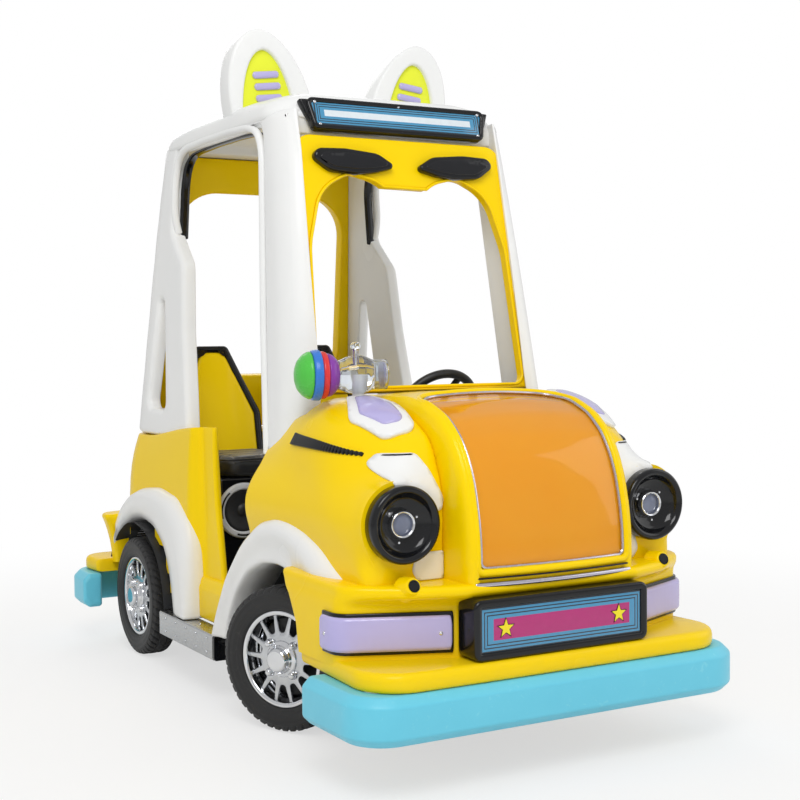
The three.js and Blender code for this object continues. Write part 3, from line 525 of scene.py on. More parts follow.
yellowGelcoat = gelcoat("yellow polyester gelcoat", "#FFDC00", "#F8CF02")
whiteGelcoat = gelcoat("white polyester gelcoat", "#F4F4F2", "#E9EAEA")
cyanRubber = castRubber("cyan cast bumper rubber", "#6CD0E8", "#60C6E0", 0.42, 700.0, 0.12, "#8FDBEA")
tyreRubber = castRubber("vulcanised tyre rubber", "#151516", "#232324", 0.68, 520.0, 0.2, "#3A3936")
blackGloss = mouldedGloss("black gloss ABS", "#0B0C0E", "#15161A", 0.1)
gripPlastic = castRubber("soft black grip rubber", "#16171A", "#1F2023", 0.42, 900.0, 0.2, "#2F3034")
lensWhite = clearPlastic("lavender diffusing acrylic", ("#C9C2F2", "#BDB4EA"), 0.12, 0.16, 0.12)
amberSheet = clearPlastic("amber acrylic window", ("#FFB21F", "#FFA60F"), 0.0, 0.07)
amberSheet.node_tree.nodes["Principled BSDF"].inputs["Alpha"].default_value = 0.66  # a third of the light passes
clearSheet = clearPlastic("clear polycarbonate", ("#E8EDF2", "#DCE4EC"), 0.92, 0.04)
limeGelcoat = gelcoat("lime gelcoat", "#EEF544", "#E4EC38")
creamGelcoat = gelcoat("cream polyester flow coat", "#FBE3B4", "#F3D8A2")
chrome = metal("chrome plate", "#E6E7EA", "#D4D6DA", 0.08, grain=30.0)
castAlloy = metal("polished cast alloy", "#D9DBDE", "#B9BCC1", 0.2, grain=45.0, depth=0.05)
steelSheet = metal("brushed stainless sheet", "#C9CACC", "#AEB0B3", 0.26, (1.2, 1.2, 60), 28.0, 0.06)
darkSteel = mouldedGloss("black powder-coated steel", "#1B1C1E", "#27282B", 0.42, 900.0, 0.15)
trimStrip = metal("anodised aluminium strip", "#D5D2DE", "#BDBAC8", 0.24, (1, 20, 1), 20.0)
battery = mouldedGloss("grey polypropylene", "#3A3C40", "#484A4E", 0.4, 300.0, 0.1)


def cushionVinyl():
    # embossed upholstery vinyl: black with a leather grain about 2 mm across and a soft sheen
    finish, tree, shader, place = newFinish("embossed black vinyl", IOR=1.48, Sheen_Weight=0.2, Coat_Weight=0.15)
    cell = addNode(tree, "TexVoronoi", {"Vector": place, "Scale": 420.0}, feature="DISTANCE_TO_EDGE").outputs[0]
    crease = addNode(tree, "MapRange", {0: cell, 1: 0.0, 2: 0.12}).outputs[0]
    rub = addNode(tree, "TexNoise", {"Vector": place, "Scale": 6.0, "Detail": 6.0}).outputs[0]
    tinted(tree, shader, rub, "#101113", "#202226")
    varied(tree, shader, rub, 0.3, 0.46)
    bumped(tree, shader, crease, 0.25, 0.0006)
    return finish


def printedSign(name, centre, half, across, band, bandHalf, lines):
    # back-printed acrylic sign face: nested dark lines follow the edge, a colour band runs across it
    finish, tree, shader, place = newFinish(name, IOR=1.49, Coat_Weight=0.7, Coat_Roughness=0.04, Roughness=0.18)
    local = addNode(tree, "Mapping", {"Vector": place, "Location": [-c for c in centre]}).outputs[0]
    parts = addNode(tree, "SeparateXYZ", {0: local}).outputs
    # each axis gives the distance in from its own edge, and whether the band's half height is reached
    reach, inBand = [], []
    for axis, size, bandSize in ((0, half[0], bandHalf[0]), (2, half[1], bandHalf[1])):
        off = addNode(tree, "Math", {0: parts[axis]}, operation="ABSOLUTE").outputs[0]
        reach.append(addNode(tree, "Math", {0: size, 1: off}, operation="SUBTRACT").outputs[0])
        inBand.append(addNode(tree, "Math", {0: reach[-1], 1: size - bandSize}, operation="GREATER_THAN").outputs[0])
    edge = addNode(tree, "Math", {0: reach[0], 1: reach[1]}, operation="MINIMUM").outputs[0]
    colour, ink = toLinear(across), toLinear("#16222E")
    for distance, width in lines:
        off = addNode(tree, "Math", {0: edge, 1: distance}, operation="SUBTRACT").outputs[0]
        off = addNode(tree, "Math", {0: off}, operation="ABSOLUTE").outputs[0]
        on = addNode(tree, "Math", {0: off, 1: width / 2}, operation="LESS_THAN").outputs[0]
        colour = addNode(tree, "Mix", {0: on, 6: colour, 7: ink}, data_type="RGBA").outputs[2]
    inside = addNode(tree, "Math", {0: inBand[0], 1: inBand[1]}, operation="MULTIPLY").outputs[0]
    colour = addNode(tree, "Mix", {0: inside, 6: colour, 7: toLinear(band)}, data_type="RGBA").outputs[2]
    cloud = addNode(tree, "TexNoise", {"Vector": place, "Scale": 60.0, "Detail": 4.0}).outputs[0]
    fade = addNode(tree, "MapRange", {0: cloud, 3: 0.9, 4: 1.06}).outputs[0]
    shaded = addNode(tree, "Mix", {0: 1.0, 6: colour, 7: fade}, data_type="RGBA", blend_type="MULTIPLY")
    tree.links.new(shaded.outputs[2], shader.inputs["Base Color"])
    bumped(tree, shader, cloud, 0.02, 0.0003)
    return finish


seatVinyl = cushionVinyl()
smokeLens = mouldedGloss("smoked lamp lens", "#0E0F12", "#1A1B20", 0.06, 40.0, 0.02)
bulbGlass = mouldedGloss("dark reflector glass", "#4A5066", "#8E95A8", 0.08, 60.0, 0.08)
starPaint = mouldedGloss("yellow screen ink", "#F8E72E", "#F2DE22", 0.25, 60.0, 0.03)
silverPaint = mouldedGloss("silver lacquered ABS", "#D2D4D8", "#C2C5CA", 0.2, 500.0, 0.03)
toyColours = {name: mouldedGloss(f"{name} toy ABS", low, high, 0.22, 300.0, 0.04) for name, low, high in (
    ("green", "#57C84D", "#4DBB45"), ("blue", "#3B7FD9", "#3474CC"), ("red", "#E23A3C", "#D63335"),
    ("purple", "#8B3FA8", "#7E379C"), ("magenta", "#C23A8E", "#B53283"))}
print("finishes ready")


def blended(rows, *paths):
    # P(row, t) = weighted sum of the plan paths at that t, with z given for each row
    paths = [np.asarray(p, float) for p in paths]
    grid = []
    for z, *weights in rows:
        flat = sum(w * p for w, p in zip(weights, paths))
        grid.append(np.column_stack([flat, np.full(len(flat), z)]))
    return np.array(grid)


def planOf(points, cornerSteps=8, edgeSteps=10):
    # an open outline seen from above, from its +X end round to its -X end
    return rounded(mirrored(points), cornerSteps, edgeSteps, closed=False)


bumperShape = {"half": 536, "tip": 1055, "corner": 105, "depth": 62, "height": 110, "chamfer": 20, "bottom": 125,
               "ends": {"front": (1, 772), "rear": (-1, 868)}}


def makeBumper(name, facing, end, shape):
    # a chamfered bar carried round the car's end; facing is -1 for the rear
    deep, high, cut = shape["depth"] / 2, shape["height"] / 2, shape["chamfer"]
    half, tip = shape["half"] - deep, shape["tip"] - deep
    path = planOf([(-half, -end), (-half, -tip, shape["corner"] - deep)], 14, 24) * facing
    profile = rounded([(-deep, -high, 10), (deep - cut, -high, 12), (deep, cut - high, 12),
                       (deep, high - cut, 12), (deep - cut, high, 12), (-deep, high, 10)], 4, 2)
    path = np.column_stack([path, np.full(len(path), shape["bottom"] + high)])
    addPiece(name, *carried(path, profile, ends=12), cyanRubber, "bumper_rubber", stands=[name], sharp=60)


for end, (facing, reach) in bumperShape["ends"].items():
    makeBumper(f"{end}_bumper", facing, reach, bumperShape)
print("bumpers made")


def shelfSheet(outer, inner, rim):
    # the flat shelf above a bumper: each (z, d) of its rim is the outer outline drawn in by d,
    # and the inner outline closes it below and above
    inward = inner - outer
    inward /= np.maximum(np.linalg.norm(inward, axis=1), 1e-6)[:, None]
    rings = [(inner, rim[0][0]), *[(outer + inward * d, z) for z, d in rim], (inner, rim[-1][0])]
    return sheet(np.array([np.column_stack([ring, np.full(len(ring), float(z))]) for ring, z in rings]))


noseShape = {
    "archFront": [(235, -639), (330, -622), (385, -590), (411, -561), (446, -540)],
    "shelfOut": [(-400, -640), (-478, -640, 12), (-498, -1038, 105), (-232, -1041, 300)],
    "shelfIn": [(-400, -660), (-420, -660, 4), (-420, -860, 40), (-232, -900, 40)],
    "rim": [(236, 8), (238, 4), (243, 1), (250, 0), (262, 0), (270, 2), (275, 6), (278, 12), (279, 20)],
    "band": [(-395, -560), (-484, -560, 16), (-486, -850, 45), (-355, -906, 90), (-236, -955, 30)],
    "ledge": [(-395, -560), (-481, -560, 16), (-482, -862, 70), (-355, -958, 90), (-232, -1003, 30)],
    "ledgeIn": [(-380, -562), (-390, -580, 4), (-380, -800, 40), (-330, -850, 40), (-225, -880, 30)],
}


def noseSkirt(shape):
    # the shelf, then the band and its ledge: three plan outlines blended up the height
    shelf = shelfSheet(planOf(shape["shelfOut"]), planOf(shape["shelfIn"]), shape["rim"])
    grid = blended([
        (262, 1, 0, 0), (330, 1, 0, 0), (392, 1, 0, 0), (402, 0.9, 0.1, 0), (410, 0.62, 0.38, 0),
        (416, 0.3, 0.7, 0), (422, 0.08, 0.92, 0), (428, 0, 1, 0), (437, 0, 1, 0), (443, 0, 0.97, 0.03),
        (446, 0, 0.92, 0.08), (447, 0, 0.8, 0.2), (447, 0, 0.4, 0.6), (447, 0, 0, 1)],
        *[planOf(shape[k]) for k in ("band", "ledge", "ledgeIn")])
    # the last 200 mm are stretched back to the wheel arch's front edge
    back = through(shape["archFront"], grid[..., 2])
    grid[..., 1] = np.where(grid[..., 1] > -760, -760 + (grid[..., 1] + 760) * (back + 760) / 200, grid[..., 1])
    return joined(shelf, sheet(grid))


def fenderLobe():
    # the space inside a side wall, a shoulder bevel, a falling top and a front face, softly joined,
    # with the headlamp barrel added; each row is a slice across the car, found along rays from an axis
    def distance(p):
        x, y, z = p[..., 0], p[..., 1], p[..., 2]
        out = np.clip((-480 - y) / 260, 0, 1)
        side = x - 430 - 13 * out ** 2 * (3 - 2 * out) + 10 * ((z - 600) / 200) ** 2
        shoulder = through([(-905, 664), (-860, 704), (-800, 741), (-700, 794), (-600, 822), (-549, 825),
                            (-450, 808), (-325, 776), (-200, 740)], y)
        bevel = (0.766 * x + 0.643 * z - shoulder) / 1.08
        top = (z - through([(-905, 660), (-893, 690), (-860, 747), (-800, 789), (-700, 826), (-600, 845),
                            (-500, 849), (-200, 849)], y)) / 1.1
        face = np.where(z > 640, -893 + (z - 640) * 0.3, -893) - y
        inner = np.where(y < -520, 234, np.minimum(234 + (y + 520) * 3.4, 366)) - x
        solid = softMax(softMax(softMax(side, bevel, 66), top, 60), face, 40)
        barrel = np.hypot(x - 352, z - 580) - 97
        solid = softMin(solid, np.maximum(barrel, -895 - y), 34)
        return softMax(np.maximum(solid, 428 - z), inner, 14)

    y = np.r_[-894.6, -893.6, -892.6, np.linspace(-891, -876, 8), np.linspace(-870, -292, 70)]
    y = np.sort(y)[::-1]
    angle = np.linspace(0, 2 * pi, 180, endpoint=False)
    rowY, rowA = np.meshgrid(y, angle, indexing="ij")
    startX = np.where(rowY < -520, 338.0, np.minimum(338 + (rowY + 520) * 1.5, 397))
    startX = np.where(rowY < -880, 348.0, startX)
    origins = np.stack([startX, rowY, np.where(rowY < -880, 585.0, 600.0)], -1)
    rays = np.stack([np.cos(rowA), np.zeros_like(rowA), np.sin(rowA)], -1)
    points = outTo(distance, origins, rays, 420)
    # the door edge: the rear end leans back below the shoulder
    lean = through([(290, 92), (330, 90), (480, 50), (600, 20), (700, 0), (900, 0)], points[..., 2])
    points[..., 1] += lean * np.clip((points[..., 1] + 430) / 138, 0, 1) ** 1.5
    rim = points[0]
    middle = np.array([397.0, -270.0, 560.0])
    shrink = [rim + (np.stack([rim[:, 0] * 0 + 397, rim[:, 1], np.clip(rim[:, 2], 460, 690)], -1) - rim) * k
              + [0, s, 0] for k, s in ((0.12, 5), (0.35, 10), (0.6, 12))]
    closedRear = np.concatenate([[np.broadcast_to(middle, rim.shape)], shrink[::-1], points,
                                 [np.broadcast_to([352.0, -894.6, 580.0], rim.shape)]])
    return closedRear


frontArch = {
    "opening": [(-639, 236), (-628, 320), (-600, 378), (-561, 411), (-500, 432), (-440, 438), (-350, 428),
                (-262, 392), (-186, 325), (-132, 240), (-116, 192)],
    "border": [(-786, 444), (-740, 468), (-675, 508), (-600, 537), (-520, 551), (-446, 553), (-350, 533),
               (-250, 474), (-150, 376), (-75, 262), (-36, 192)],
}
rearArch = {
    "border": [(192, 190), (191, 330), (197, 401), (229, 470), (320, 528), (463, 547), (589, 536), (693, 509),
               (773, 469), (830, 425)],
    "crest": [(206, 190), (222, 243), (243, 350), (290, 436), (392, 500), (520, 512), (600, 506), (690, 470),
              (752, 425), (790, 380)],
    "opening": [(380, 190), (388, 250), (418, 312), (464, 366), (546, 408), (640, 424), (710, 414), (790, 374),
                (846, 322), (872, 284)],
}


def sampled(line, count=110):
    # a softened curve, resampled to equal steps along its length
    line = smoothed(line, 8, 10, 8)
    along = np.r_[0, np.cumsum(np.linalg.norm(np.diff(line, axis=0), axis=1))]
    at = np.linspace(0, along[-1], count)
    return np.column_stack([np.interp(at, along, line[:, k]) for k in (0, 1)])


def fenderShell(shape, body):
    # rows run from the border over the crest to the opening; x is how far each row stands out
    border, opening = sampled(shape["border"]), sampled(shape["opening"])
    if "crest" in shape:
        crest = sampled(shape["crest"])
        turn = np.linspace(0, pi / 2, 9)
        rows = [(border, border, 0, -40), (border, border, 0, -8)]
        rows += [(border, crest, 1 - math.cos(t), 36 * math.sin(t)) for t in turn]
        rows += [(crest, opening, 0.12 + 0.88 * math.sin(t), 78 * math.cos(t) - 42) for t in turn[1:]]
        rows += [(opening, opening, 0, -46), (opening, opening, 0, -120)]
    else:
        steps = [(-0.02, -30), (-0.02, -6), (0.0, 4), (0.03, 13), (0.08, 21), (0.15, 26), (0.24, 30), (0.34, 29),
                 (0.46, 25), (0.6, 20), (0.74, 17), (0.86, 17), (0.94, 16), (0.985, 12), (1.01, 4), (1.02, -10),
                 (1.02, -90)]
        rows = [(border, opening, w, x) for w, x in steps]
    return sheet(np.array([np.column_stack([np.full(len(a), float(body + x)), a + (b - a) * w])
                           for a, b, w, x in rows]))


def archLiner(opening, deep):
    # the inside of the wheel house: the opening carried inwards and closed by a wall
    line = smoothed(opening, 8, 10, 14)
    rows = [np.column_stack([np.full(len(line), x), line]) for x in (440.0, 420.0, 330.0, deep)]
    rows.append(rows[-1] * [1, 1, 0] + [0, 0, 236.0])
    return sheet(np.array(rows))


def pierced(shape, opening, shift=(0, 0)):
    # the faces of a body skin, less those in the wheel arch's opening; the arch is closed below the
    # body, and only the outer wall, past x 300, is cut
    grid, quads = shape
    centres = grid.reshape(-1, 3)[quads].mean(1)
    arch = np.array(opening, float) + shift
    low = [[arch[-1, 0], 100], [arch[0, 0], 100]]
    hole = insideOf([np.vstack([arch, low])], centres[:, 1:]) & (np.abs(centres[:, 0]) > 300)
    return quads[~hole], centres[~hole]


addPiece("nose_skirt", *noseSkirt(noseShape), yellowGelcoat, "yellow_gelcoat", stands=["front_body"],
         sharp=50, closed=False, away=(0, -700, 300))
lobe = fenderLobe()
addBoth("fender_lobe", lobe, pierced(sheet(lobe, True), frontArch["opening"])[0], yellowGelcoat, "yellow_gelcoat",
        sharp=50, closed=False, away=(338, -600, 600))
for name, shape, body, deep in (("front", frontArch, 434, 250.0), ("rear", rearArch, 412, 322.0)):
    shell = fenderShell(shape, body)
    addBoth(f"{name}_fender", *shell, whiteGelcoat, "white_gelcoat", stands=[f"{name}_fender"], sharp=60,
            closed=False, away=(300, shell[0][..., 1].mean(), 200), wall=4)
    liner = archLiner(shape["opening"], deep)
    addBoth(f"{name}_wheel_house", *liner, darkSteel, "dark_steel", closed=False,
            away=(300, liner[0][..., 1].mean(), 900), sharp=60)
print("nose and fenders made")


hoodShape = {
    "side": [(-1002, 428), (-1005, 480), (-1003, 540), (-994, 600), (-978, 668), (-956, 722), (-920, 776),
             (-866, 820), (-790, 850), (-700, 862), (-600, 864), (-500, 860), (-418, 856)],
    "half": 232, "windowHalf": 212, "windowFoot": 466, "windowRear": -694, "corner": 62, "crown": 15,
    # (x, lift) across the left edge's raised bead
    "bead": [(-234, -150), (-234, -34), (-233, -18), (-230, -6), (-225, 2), (-218, 6), (-210, 5),
             (-204, 1), (-200, -3)],
}


class Hood:
    # the hood's skin as a function of s, the distance up its side view, x across it and the lift off it:
    # P = line(s) + normal(s) * (lift - crown (x / half)^2)
    def __init__(self, shape):
        line = smoothed(shape["side"], 6, 12)
        self.along = np.r_[0, np.cumsum(np.linalg.norm(np.diff(line, axis=0), axis=1))]
        tangent = np.gradient(line, axis=0)
        tangent /= np.linalg.norm(tangent, axis=1)[:, None]
        self.line, self.normal = line, np.column_stack([-tangent[:, 1], tangent[:, 0]])
        self.half, self.crown = shape["half"], shape["crown"]
        self.foot = float(np.interp(shape["windowFoot"], line[:, 1], self.along))
        rear = np.argmin(np.abs(line[:, 0] - shape["windowRear"]) + (line[:, 1] < 800) * 999)
        self.rear = float(self.along[rear])

    def at(self, s, x, lift):
        parts = [np.interp(s, self.along, a) for a in (*self.line.T, *self.normal.T)]
        rise = lift - self.crown * (x / self.half) ** 2
        return np.stack([x, parts[0] + parts[2] * rise, parts[1] + parts[3] * rise], -1)


hood = Hood(hoodShape)


def hoodPanel(shape):
    # the side rolls are a raised bead; inside the window the faces are left out
    bead = shape["bead"]
    across = [*bead, *[(x, -3.0) for x in np.linspace(-193, 193, 56)], *[(-x, n) for x, n in reversed(bead)]]
    s = np.arange(0, hood.along[-1], 6.5)
    gridS, gridX = np.meshgrid(s, [a[0] for a in across], indexing="ij")
    lift = np.broadcast_to([a[1] for a in across], gridS.shape)
    points = hood.at(gridS, gridX, lift)
    quads = gridFaces(*points.shape[:2])
    middleS, middleX = gridS.reshape(-1)[quads].mean(1), gridX.reshape(-1)[quads].mean(1)
    return points, quads[~insideOf([windowLoop(shape, 0)], np.column_stack([middleX, middleS]))]


def windowLoop(shape, inset):
    # the bonnet window's outline in (x, s)
    half, low, high = shape["windowHalf"] - inset, hood.foot + inset, hood.rear - inset
    corner = shape["corner"]
    return rounded([(-half, low, 16), (half, low, 16), (half, high, corner), (-half, high, corner)], 10, 24)


def onHood(loop, lift):
    return hood.at(loop[:, 1], loop[:, 0], lift)


addPiece("hood", *hoodPanel(hoodShape), yellowGelcoat, "yellow_gelcoat", sharp=50, closed=False, away=(0, -700, 500))
for name, inset, lift, radius, corners, finish, slot in (
        ("window_lip", 3, -1.0, 8.5, 12, yellowGelcoat, "yellow_gelcoat"),
        ("window_gasket", 13, -3.0, 4.0, 8, trimStrip, "stainless")):
    ring = onHood(windowLoop(hoodShape, inset), lift)
    addPiece(name, *tubed(ring, radius, corners, True, up=(0, -0.7, 0.7)), finish, slot)
s, x = np.meshgrid(np.linspace(hood.foot + 2, hood.rear - 2, 90), np.linspace(-210, 210, 50), indexing="ij")
pane, quads = sheet(hood.at(s, x, -7.0))
middle = np.column_stack([x.reshape(-1)[quads].mean(1), s.reshape(-1)[quads].mean(1)])
addPiece("bonnet_window", pane, quads[insideOf([windowLoop(hoodShape, 2)], middle)], amberSheet, "amber_acrylic",
         stands=["bonnet_window"], closed=False, away=(0, -700, 500), wall=5, sharp=80)
for name, z, radius, finish, slot in (("trim_strip", 442, 6.5, trimStrip, "stainless"),
                                      ("trim_bead", 457, 2.2, blackGloss, "gloss_black")):
    s = np.full(60, float(np.interp(z, hood.line[:, 1], hood.along)))
    path = hood.at(s, np.linspace(-214, 214, 60), 3.0)
    addPiece(name, *tubed(path, radius, 10), finish, slot, sharp=60)


def displayCase():
    # the cream case behind the window: both side walls hang from the hood's line, and a back wall closes it
    half, front, rear, low = 218.0, -985, -655, 462.0
    s = np.linspace(hood.foot - 20, hood.rear + 30, 40)
    s = s[hood.at(s, np.full(40, 208.0), -12.0)[:, 2] > 480]
    walls = []
    for x in (-half, half):
        top = hood.at(s, np.full(len(s), x), -12.0)
        foot = np.column_stack([top[:, 0], np.maximum(top[:, 1], front), np.full(len(s), low)])
        walls.append(sheet(np.array([top, foot])))
    for ends in (((rear, low), (rear, 836)), ((front, low + 1), (rear, low + 1))):
        walls.append(sheet(np.array([[(-half, *end), (half, *end)] for end in ends], float)))
    return joined(*walls)


addPiece("display_case", *displayCase(), creamGelcoat, "white_gelcoat", closed=False, away=(0, -800, 600),
         wall=2, sharp=30)
print("hood made")


tailShape = {
    # the haunches' plans: low down, at the shoulder and inside
    "walls": [[(358, 142), (358, 96, 14), (378, 94, 14), (380, 184, 40), (414, 232, 50), (416, 884, 165)],
              [(358, 142), (358, 96, 14), (374, 94, 14), (380, 190, 30), (405, 226, 30), (392, 806, 120)],
              [(356, 152), (356, 104, 8), (366, 104, 8), (367, 190, 8), (368, 200, 8), (362, 740, 80)]],
    "shelfOut": [(-400, 872), (-486, 872, 12), (-498, 1036, 105), (-232, 1040, 200)],
    "shelfIn": [(-398, 872), (-400, 874, 4), (-400, 876, 4), (-232, 878, 4)],
    "rim": [(237, 8), (239, 3), (244, 0), (262, 0), (270, 2), (275, 6), (278, 12), (279, 20)],
    "cup": [[(-396, 830), (-430, 836, 12), (-440, 872, 60), (-260, 905, 90)],
            [(-396, 790), (-478, 800, 16), (-474, 876, 70), (-270, 938, 110)],
            [(-380, 800), (-392, 806, 6), (-380, 850, 60), (-250, 872, 60)]],
}


def tailWall():
    # lower and upper plan outlines of the haunches blended up the height, over the rim and down inside
    rows = [(236, 1, 0, 0), (292, 1, 0, 0), (370, 1, 0, 0), (440, 0.985, 0.015, 0), (500, 0.94, 0.06, 0),
            (550, 0.86, 0.14, 0), (595, 0.72, 0.28, 0), (635, 0.5, 0.5, 0), (662, 0.3, 0.7, 0),
            (682, 0.13, 0.87, 0), (694, 0.03, 0.97, 0), (699, 0, 0.97, 0.03), (701, 0, 0.85, 0.15),
            (701, 0, 0.4, 0.6), (700, 0, 0.12, 0.88), (694, 0, 0, 1), (500, 0, 0, 1), (270, 0, 0, 1)]
    grid = blended(rows, *[planOf(p, 9, 30) for p in tailShape["walls"]])
    # the door's rear edge leans back towards the top
    slope = through([(236, -38), (331, -24), (428, -6), (539, 18), (624, 30), (701, 36)], grid[..., 2])
    grid[..., 1] += slope * np.clip((205 - grid[..., 1]) / 90, 0, 1)
    # the shoulder line climbs towards the door
    rise = through([(60, 42), (200, 41), (300, 33), (430, 17), (560, 0), (900, 0)], grid[..., 1])
    grid[..., 2] += rise * np.clip((grid[..., 2] - 560) / 140, 0, 1)
    return grid


def tailSkirt(shape):
    # the shelf over the rear bumper, and the cup that flares out above it
    shelf = shelfSheet(planOf(shape["shelfOut"]), planOf(shape["shelfIn"]), shape["rim"])
    grid = blended([
        (270, 0.97, 0.03, 0), (300, 0.9, 0.1, 0), (340, 0.72, 0.28, 0), (375, 0.48, 0.52, 0), (400, 0.25, 0.75, 0),
        (415, 0.08, 0.92, 0), (422, 0, 1, 0), (429, 0, 0.985, 0.015), (432, 0, 0.94, 0.06), (433, 0, 0.8, 0.2),
        (433, 0, 0, 1)], *[planOf(p) for p in shape["cup"]])
    return joined(shelf, sheet(grid))


wall = sheet(tailWall())
quads, centres = pierced(wall, rearArch["opening"], (-8, 8))
below = (centres[:, 1] < 425) & (centres[:, 2] < 250) & (np.abs(centres[:, 0]) > 300)
addPiece("tail_wall", wall[0], quads[~below], yellowGelcoat, "yellow_gelcoat", stands=["rear_body"], sharp=60,
         closed=False, away=(0, 450, 400))
addPiece("tail_skirt", *tailSkirt(tailShape), yellowGelcoat, "yellow_gelcoat", sharp=50, closed=False,
         away=(0, 700, 330))
# flat boards: right half of the outline, corner steps, thickness, edge radius, directions and place
for name, half, steps, thick, edge, facing, origin, finish, slot in (
        ("rear_deck", [(366, 648), (366, 790, 90)], 6, 18, 7, facingDown, (0, 0, 700), yellowGelcoat,
         "yellow_gelcoat"),
        ("partition", [(363, 262, 10), (363, 690, 10)], 4, 20, 5, facingFront, (0, 652, 0), yellowGelcoat,
         "yellow_gelcoat"),
        ("bulkhead", [(222, 262, 10), (222, 404, 10), (366, 404, 10), (366, 700, 10)], 4, 12, 4, facingFront,
         (0, -492, 0), darkSteel, "dark_steel")):
    board = laid(plate(rounded(mirrored(half), steps), thick, edge), *facing, origin)
    addPiece(name, *board, finish, slot, sharp=40)
sillProfile = rounded([(-17, -50, 6), (17, -50, 12), (19, 40, 30), (8, 74, 24), (-17, 76, 8)], 5, 2)
for name, sign in sides:
    path = straight(sign * 382.0, (-132, 384), 240.0, 40)[::sign]
    addPiece(f"sill_{name}", *carried(path, sillProfile, ends=4), yellowGelcoat, "yellow_gelcoat",
             stands=[f"sill_{name}"], sharp=60)
print("tail made")


# the side walls of the cab lean in by the taper for each mm of height, and their outer faces
# roll away towards the windscreen and the rear: x falls by roll t^2 over the last 95 mm
cabShape = {
    "half": 398, "inner": 356, "foot": 694, "taper": 0.058, "doorFoot": -283, "doorHead": -170, "roll": 36,
    "post": [(272, 701), (296, 820, 200), (341, 1023, 120), (366, 1220, 60), (470, 1318, 60), (474, 1500, 60),
             (440, 1590), (590, 1590, 60), (622, 1480, 200), (650, 1388, 160), (716, 995, 100), (748, 701)],
    "slot": [(474, 782, 26), (520, 1118, 20), (560, 1118, 20), (628, 782, 30)],
    "lip": [(-279, 700), (-262, 800), (-226, 1030), (-190, 1330), (-170, 1490), (-136, 1547), (-70, 1566),
            (60, 1571), (240, 1571), (400, 1566), (452, 1540), (470, 1480), (468, 1320)],
}


def leaned(points):
    points = np.array(points, float)
    points[:, 0] -= cabShape["taper"] * (points[:, 2] - cabShape["foot"])
    front = through([(694, -452), (742, -452), (860, -434), (1480, -318), (1600, -290)], points[:, 2])
    rear = through([(701, 760), (995, 716), (1388, 650), (1600, 600)], points[:, 2])
    t = np.clip((front + 95 - points[:, 1]) / 95, 0, 1) + np.clip((points[:, 1] - rear + 80) / 80, 0, 1)
    points[:, 0] -= cabShape["roll"] * t ** 2 * np.clip((points[:, 0] - 300) / 45, 0, 1)
    return points


def makePillars(c):
    foot, head = c["doorFoot"], c["doorHead"]
    front = rounded([(foot, c["foot"]), (-452, c["foot"]), (-452, 742), (-434, 860, 60), (-318, 1480, 60),
                     (-290, 1590), (head + 96, 1590), (head + 8, 1552, 60), (head - 9, 1480, 60)], 8, 20)
    for name, outline, edge, holes, spacing in (
            ("front_pillar", front, 22, [], 22),
            ("rear_pillar", rounded(c["post"], 10, 16), 18, [rounded(c["slot"], 10, 16)], 26)):
        board = plate(outline, c["half"] - c["inner"], edge, holes, backEdge=6, spacing=spacing, steps=6)
        points, faces = laid(board, *facingSide, (c["half"], 0, 0))
        addBoth(name, leaned(points), faces, whiteGelcoat, "white_gelcoat", stands=[name], sharp=50)


def makeDoorEdge(c):
    # the rolled lip along the door opening, whose rear end sinks into the pillar, and the wide black
    # seal just inside it: (points, radius, how far in, end's extra depth, width over height)
    lip = np.array(c["lip"], float)
    for name, points, radius, inward, dip, wide, finish, slot in (
            ("door_lip", lip, 11, 6.0, 16, 1.0, whiteGelcoat, "white_gelcoat"),
            ("door_seal", lip[6:] + [-2, -15], 5.5, 38.0, 0, 2.6, blackGloss, "gloss_black")):
        line = smoothed(points, 12, 6, 12)
        sunk = inward + dip * np.clip((np.arange(len(line)) - len(line) + 9) / 8, 0, 1) ** 2
        path = leaned(np.column_stack([c["half"] - sunk, line]))
        ring = ellipse(radius, wide * radius, 18)
        addBoth(name, *carried(path, ring, up=(1, 0, 0), ends=4), finish, slot, sharp=60)


# the brow lamp's outline, u across and v up from its own height
browLamp = [(27, -8, 10), (84, 27, 60), (180, 36, 120), (262, 33, 30), (277, 8, 24), (228, -27, 60), (150, -32, 90),
            (92, -25, 60)]


